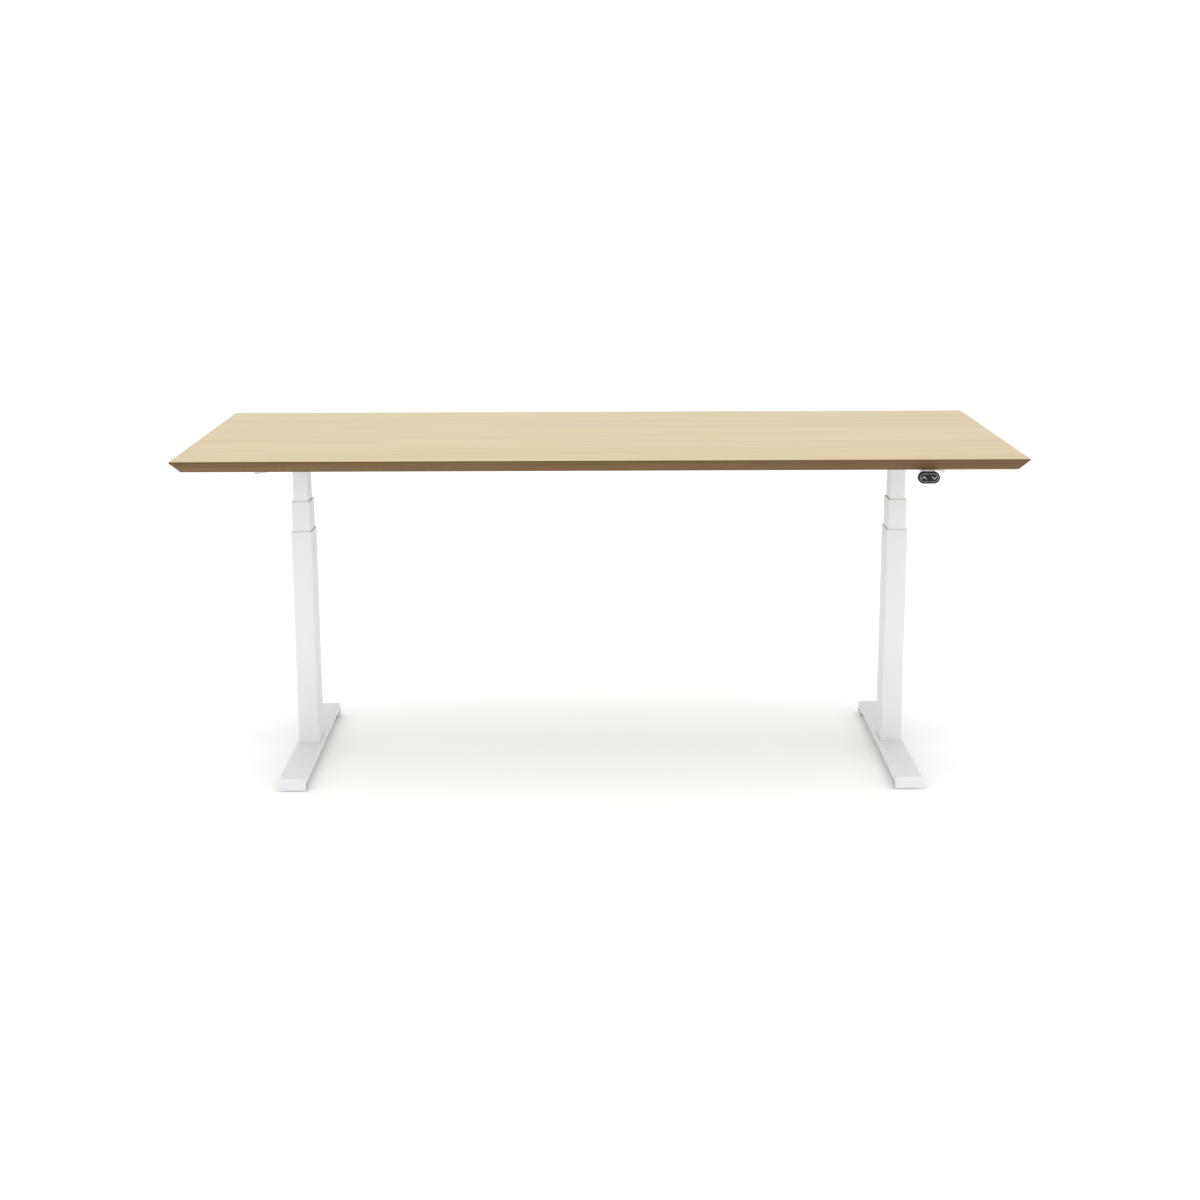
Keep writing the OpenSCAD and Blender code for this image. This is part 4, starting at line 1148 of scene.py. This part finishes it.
def make_arrow(name, apex, width, height, line):
    """Models an arrow: two strokes that meet at the apex. A negative height makes it point down."""
    slope = math.atan2(abs(height), width / 2)
    length = (width / 2) / math.cos(slope)
    depth = 0.5 * MM
    stroke = cube(
        name,
        (apex.x - line, apex.y, apex.z - line / 2),
        (apex.x + length, apex.y + depth, apex.z + line / 2),
    )
    with editing(stroke):
        bpy.ops.mesh.select_all(action="SELECT")
        bpy.ops.transform.rotate(value=-slope, orient_axis="Y", center_override=apex)
        bpy.ops.mesh.bisect(plane_co=apex, plane_no=X, clear_inner=True, use_fill=False)
    to_apex, back = Matrix.Translation(apex), Matrix.Translation(-apex)
    if height < 0:
        stroke.data.transform(to_apex @ Matrix.Scale(-1, 4, Z) @ back)
        stroke.data.flip_normals()
    other = copied(stroke, name, to_apex @ Matrix.Scale(-1, 4, X) @ back)
    arrow = join([stroke, other], name)
    with editing(arrow):
        bpy.ops.mesh.select_all(action="SELECT")
        bpy.ops.mesh.remove_doubles(threshold=SAME_PLACE)
        bpy.ops.mesh.normals_make_consistent(inside=False)
    return arrow


def make_button(node, points_up):
    """Models one button with its part of the grey ring and its arrow."""
    look = bpy.context.scene.desk_handset
    gap, edge_radius, ink, arrow_place = 0.3 * MM, 0.3 * MM, 0.05 * MM, 11 * MM
    shell_low, shell_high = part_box("handset_shell")
    low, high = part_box(node)
    centre = (shell_low + shell_high) / 2
    side = -1 if (low.x + high.x) / 2 < centre.x else 1
    slit = centre.x + side * gap
    rim = look.rim + gap
    button = pill_block(
        node + "_piece",
        (shell_low.x + rim, low.y, shell_low.z + rim),
        (shell_high.x - rim, high.y, shell_high.z - rim),
    )
    with editing(button) as mesh:
        pick_edges(mesh, lambda at, way: near(at.y, low.y))
        bpy.ops.mesh.bevel(offset=edge_radius, segments=2)
        pick_faces(mesh, lambda at, out: looks(out, -Y))
        # The band that this inset leaves round the front is painted grey as a highlight along the
        # gap to the rim
        bpy.ops.mesh.inset(thickness=look.ring)
        bpy.ops.mesh.select_all(action="SELECT")
        bpy.ops.mesh.bisect(
            plane_co=(slit, 0, 0),
            plane_no=X,
            use_fill=True,
            clear_inner=side > 0,
            clear_outer=side < 0,
        )
        pick_edges(mesh, lambda at, way: near(at.x, slit) and near(at.y, low.y))
        bpy.ops.mesh.bevel(offset=edge_radius, segments=2)

    front = [face for face in button.data.polygons if looks(face.normal, -Y)]
    middle = max(front, key=lambda face: face.area).center.copy()

    def on_highlight_ring(at, out):
        """1 for a front face beside the large one in the middle, which takes the highlight painted
        as a ring, and 0 for any other.
        """
        return int(near(at.y, low.y) and (at - middle).length > 1 * MM)

    paint_faces(button, ("button_plastic", "mark"), on_highlight_ring)
    rise = look.arrow_height if points_up else -look.arrow_height
    apex = Vector((centre.x + side * arrow_place, low.y - ink, centre.z + rise / 2))
    arrow = make_arrow("arrow", apex, look.arrow_width, rise, look.arrow_line)
    paint_faces(arrow, ("button_plastic", "mark"), lambda at, out: 1)
    join([button, arrow], node + "_piece")
    dress(button, node, "button_plastic", [node])


def make_handset():
    """Models the handset with its two buttons."""
    dress(make_shell(), "top", "black_plastic", ["handset_shell"])
    dress_cad("handset_bracket", "top", "white_steel", bpy.context.scene.desk_steel.sheet_edge)
    make_button("up_button", True)
    make_button("down_button", False)


# ---- Works inside ----


def paint_works():
    """Gives every CAD node that still shows the material of its slot in the record."""
    for part in frame["record"]["subparts"]:
        node = frame["nodes"][part["node"]]
        if not node.hide_render:
            for holder in node.material_slots:
                holder.material = finish(part["material_slot"])


# ---- Stage ----

SENSOR_WIDTH = 36
# Round soft lights: place, width and the setting that holds the power
LIGHTS = {
    "Overhead light": ((0, -0.5, 8), 9, "overhead"),
    "Left front light": ((-6, -6, 1.2), 4, "front"),
    "Right front light": ((6, -6, 1.2), 4, "front"),
}
LIGHTS_AIM = Vector((0, 0, 0.5))
FLOOR_WIDTH = 60


def make_stage():
    """Sets the camera, the white surroundings, the soft light and the pale floor."""
    scene = bpy.context.scene
    look = scene.desk_stage
    scene.view_settings.view_transform = "Standard"
    deselect()
    bpy.ops.object.camera_add(location=look.camera_place, rotation=look.camera_turn)
    camera = bpy.context.object
    camera.name = "Camera"
    camera.data.lens = look.lens
    camera.data.sensor_width = SENSOR_WIDTH
    scene.camera = camera

    world = bpy.data.worlds.new("White surroundings")
    world.use_nodes = True
    background = world.node_tree.nodes["Background"]
    background.inputs["Color"].default_value = (1, 1, 1, 1)
    background.inputs["Strength"].default_value = look.sky
    scene.world = world

    for name, (place, width, power) in LIGHTS.items():
        deselect()
        bpy.ops.object.light_add(type="AREA", location=place)
        light = bpy.context.object
        light.name = name
        light.data.shape = "DISK"
        light.data.size = width
        light.data.energy = getattr(look, power)
        light.rotation_euler = (LIGHTS_AIM - light.location).to_track_quat("-Z", "Y").to_euler()

    deselect()
    bpy.ops.mesh.primitive_plane_add(size=FLOOR_WIDTH, location=(0, 0, 0))
    floor = bpy.context.object
    floor.name = "Floor"
    material, tree, shader = new_material("Pale painted floor")
    haze = spots(tree, 1500 * MM)
    roughness = add(tree, "ShaderNodeMapRange", {
        "Value": haze, **SPOT_RANGE, "To Min": 0.80, "To Max": 0.88,
    })
    wire(tree, shader, {
        "Base Color": linear(look.floor),
        "Roughness": roughness.outputs[0],
        "Specular IOR Level": 0.1,
    })
    floor.data.materials.append(material)


# ---- Operators and panel ----


class DESK_OT_worktop(bpy.types.Operator):
    """Build the veneered board"""

    bl_idname = "desk.worktop"
    bl_label = "Worktop"
    bl_options = {"REGISTER", "UNDO"}

    def execute(self, context):
        make_worktop()
        return {"FINISHED"}


class DESK_OT_columns(bpy.types.Operator):
    """Build the two lifting columns"""

    bl_idname = "desk.columns"
    bl_label = "Columns"
    bl_options = {"REGISTER", "UNDO"}

    def execute(self, context):
        make_columns()
        return {"FINISHED"}


class DESK_OT_feet(bpy.types.Operator):
    """Build the feet and their glides"""

    bl_idname = "desk.feet"
    bl_label = "Feet"
    bl_options = {"REGISTER", "UNDO"}

    def execute(self, context):
        make_feet()
        return {"FINISHED"}


class DESK_OT_frame(bpy.types.Operator):
    """Build the steel frame under the top and its fasteners"""

    bl_idname = "desk.steel_frame"
    bl_label = "Steel frame"
    bl_options = {"REGISTER", "UNDO"}

    def execute(self, context):
        make_frame()
        make_fasteners()
        return {"FINISHED"}


class DESK_OT_drives(bpy.types.Operator):
    """Build the gearboxes and motors"""

    bl_idname = "desk.drives"
    bl_label = "Drives"
    bl_options = {"REGISTER", "UNDO"}

    def execute(self, context):
        make_drives()
        return {"FINISHED"}


class DESK_OT_control_box(bpy.types.Operator):
    """Build the control box"""

    bl_idname = "desk.control_box"
    bl_label = "Control box"
    bl_options = {"REGISTER", "UNDO"}

    def execute(self, context):
        make_control_box()
        return {"FINISHED"}


class DESK_OT_handset(bpy.types.Operator):
    """Build the handset and its buttons"""

    bl_idname = "desk.handset"
    bl_label = "Handset"
    bl_options = {"REGISTER", "UNDO"}

    def execute(self, context):
        make_handset()
        return {"FINISHED"}


class DESK_OT_works(bpy.types.Operator):
    """Give the works inside their materials"""

    bl_idname = "desk.works"
    bl_label = "Works inside"
    bl_options = {"REGISTER", "UNDO"}

    def execute(self, context):
        paint_works()
        return {"FINISHED"}


class DESK_OT_stage(bpy.types.Operator):
    """Set up the camera, light and floor"""

    bl_idname = "desk.stage"
    bl_label = "Stage"
    bl_options = {"REGISTER", "UNDO"}

    def execute(self, context):
        make_stage()
        return {"FINISHED"}


STEPS = (
    DESK_OT_worktop,
    DESK_OT_columns,
    DESK_OT_feet,
    DESK_OT_frame,
    DESK_OT_drives,
    DESK_OT_control_box,
    DESK_OT_handset,
    DESK_OT_works,
    DESK_OT_stage,
)
SETTINGS = {
    "desk_worktop": WorktopSettings,
    "desk_steel": SteelSettings,
    "desk_handset": HandsetSettings,
    "desk_stage": StageSettings,
}


class DESK_PT_panel(bpy.types.Panel):
    """The desk's settings, and one button for each group of pieces"""

    bl_idname = "DESK_PT_panel"
    bl_label = "Standing desk"
    bl_space_type = "VIEW_3D"
    bl_region_type = "UI"
    bl_category = "Standing desk"

    def draw(self, context):
        for name, group in SETTINGS.items():
            box = self.layout.box()
            for setting in group.__annotations__:
                box.prop(getattr(context.scene, name), setting)
        for step in STEPS:
            self.layout.operator(step.bl_idname)


def register():
    """Adds the settings, the operators and the panel to Blender."""
    for group in (*SETTINGS.values(), *STEPS, DESK_PT_panel):
        bpy.utils.register_class(group)
    for name, group in SETTINGS.items():
        setattr(bpy.types.Scene, name, PointerProperty(type=group))


def unregister():
    """Takes the settings, the operators and the panel out again."""
    for name in SETTINGS:
        delattr(bpy.types.Scene, name)
    for group in (DESK_PT_panel, *reversed(STEPS), *reversed(SETTINGS.values())):
        bpy.utils.unregister_class(group)


def main():
    """Builds the whole desk."""
    register()
    bpy.ops.desk.worktop()
    bpy.ops.desk.columns()
    bpy.ops.desk.feet()
    bpy.ops.desk.steel_frame()
    bpy.ops.desk.drives()
    bpy.ops.desk.control_box()
    bpy.ops.desk.handset()
    bpy.ops.desk.works()
    bpy.ops.desk.stage()


if __name__ == "__main__":
    main()
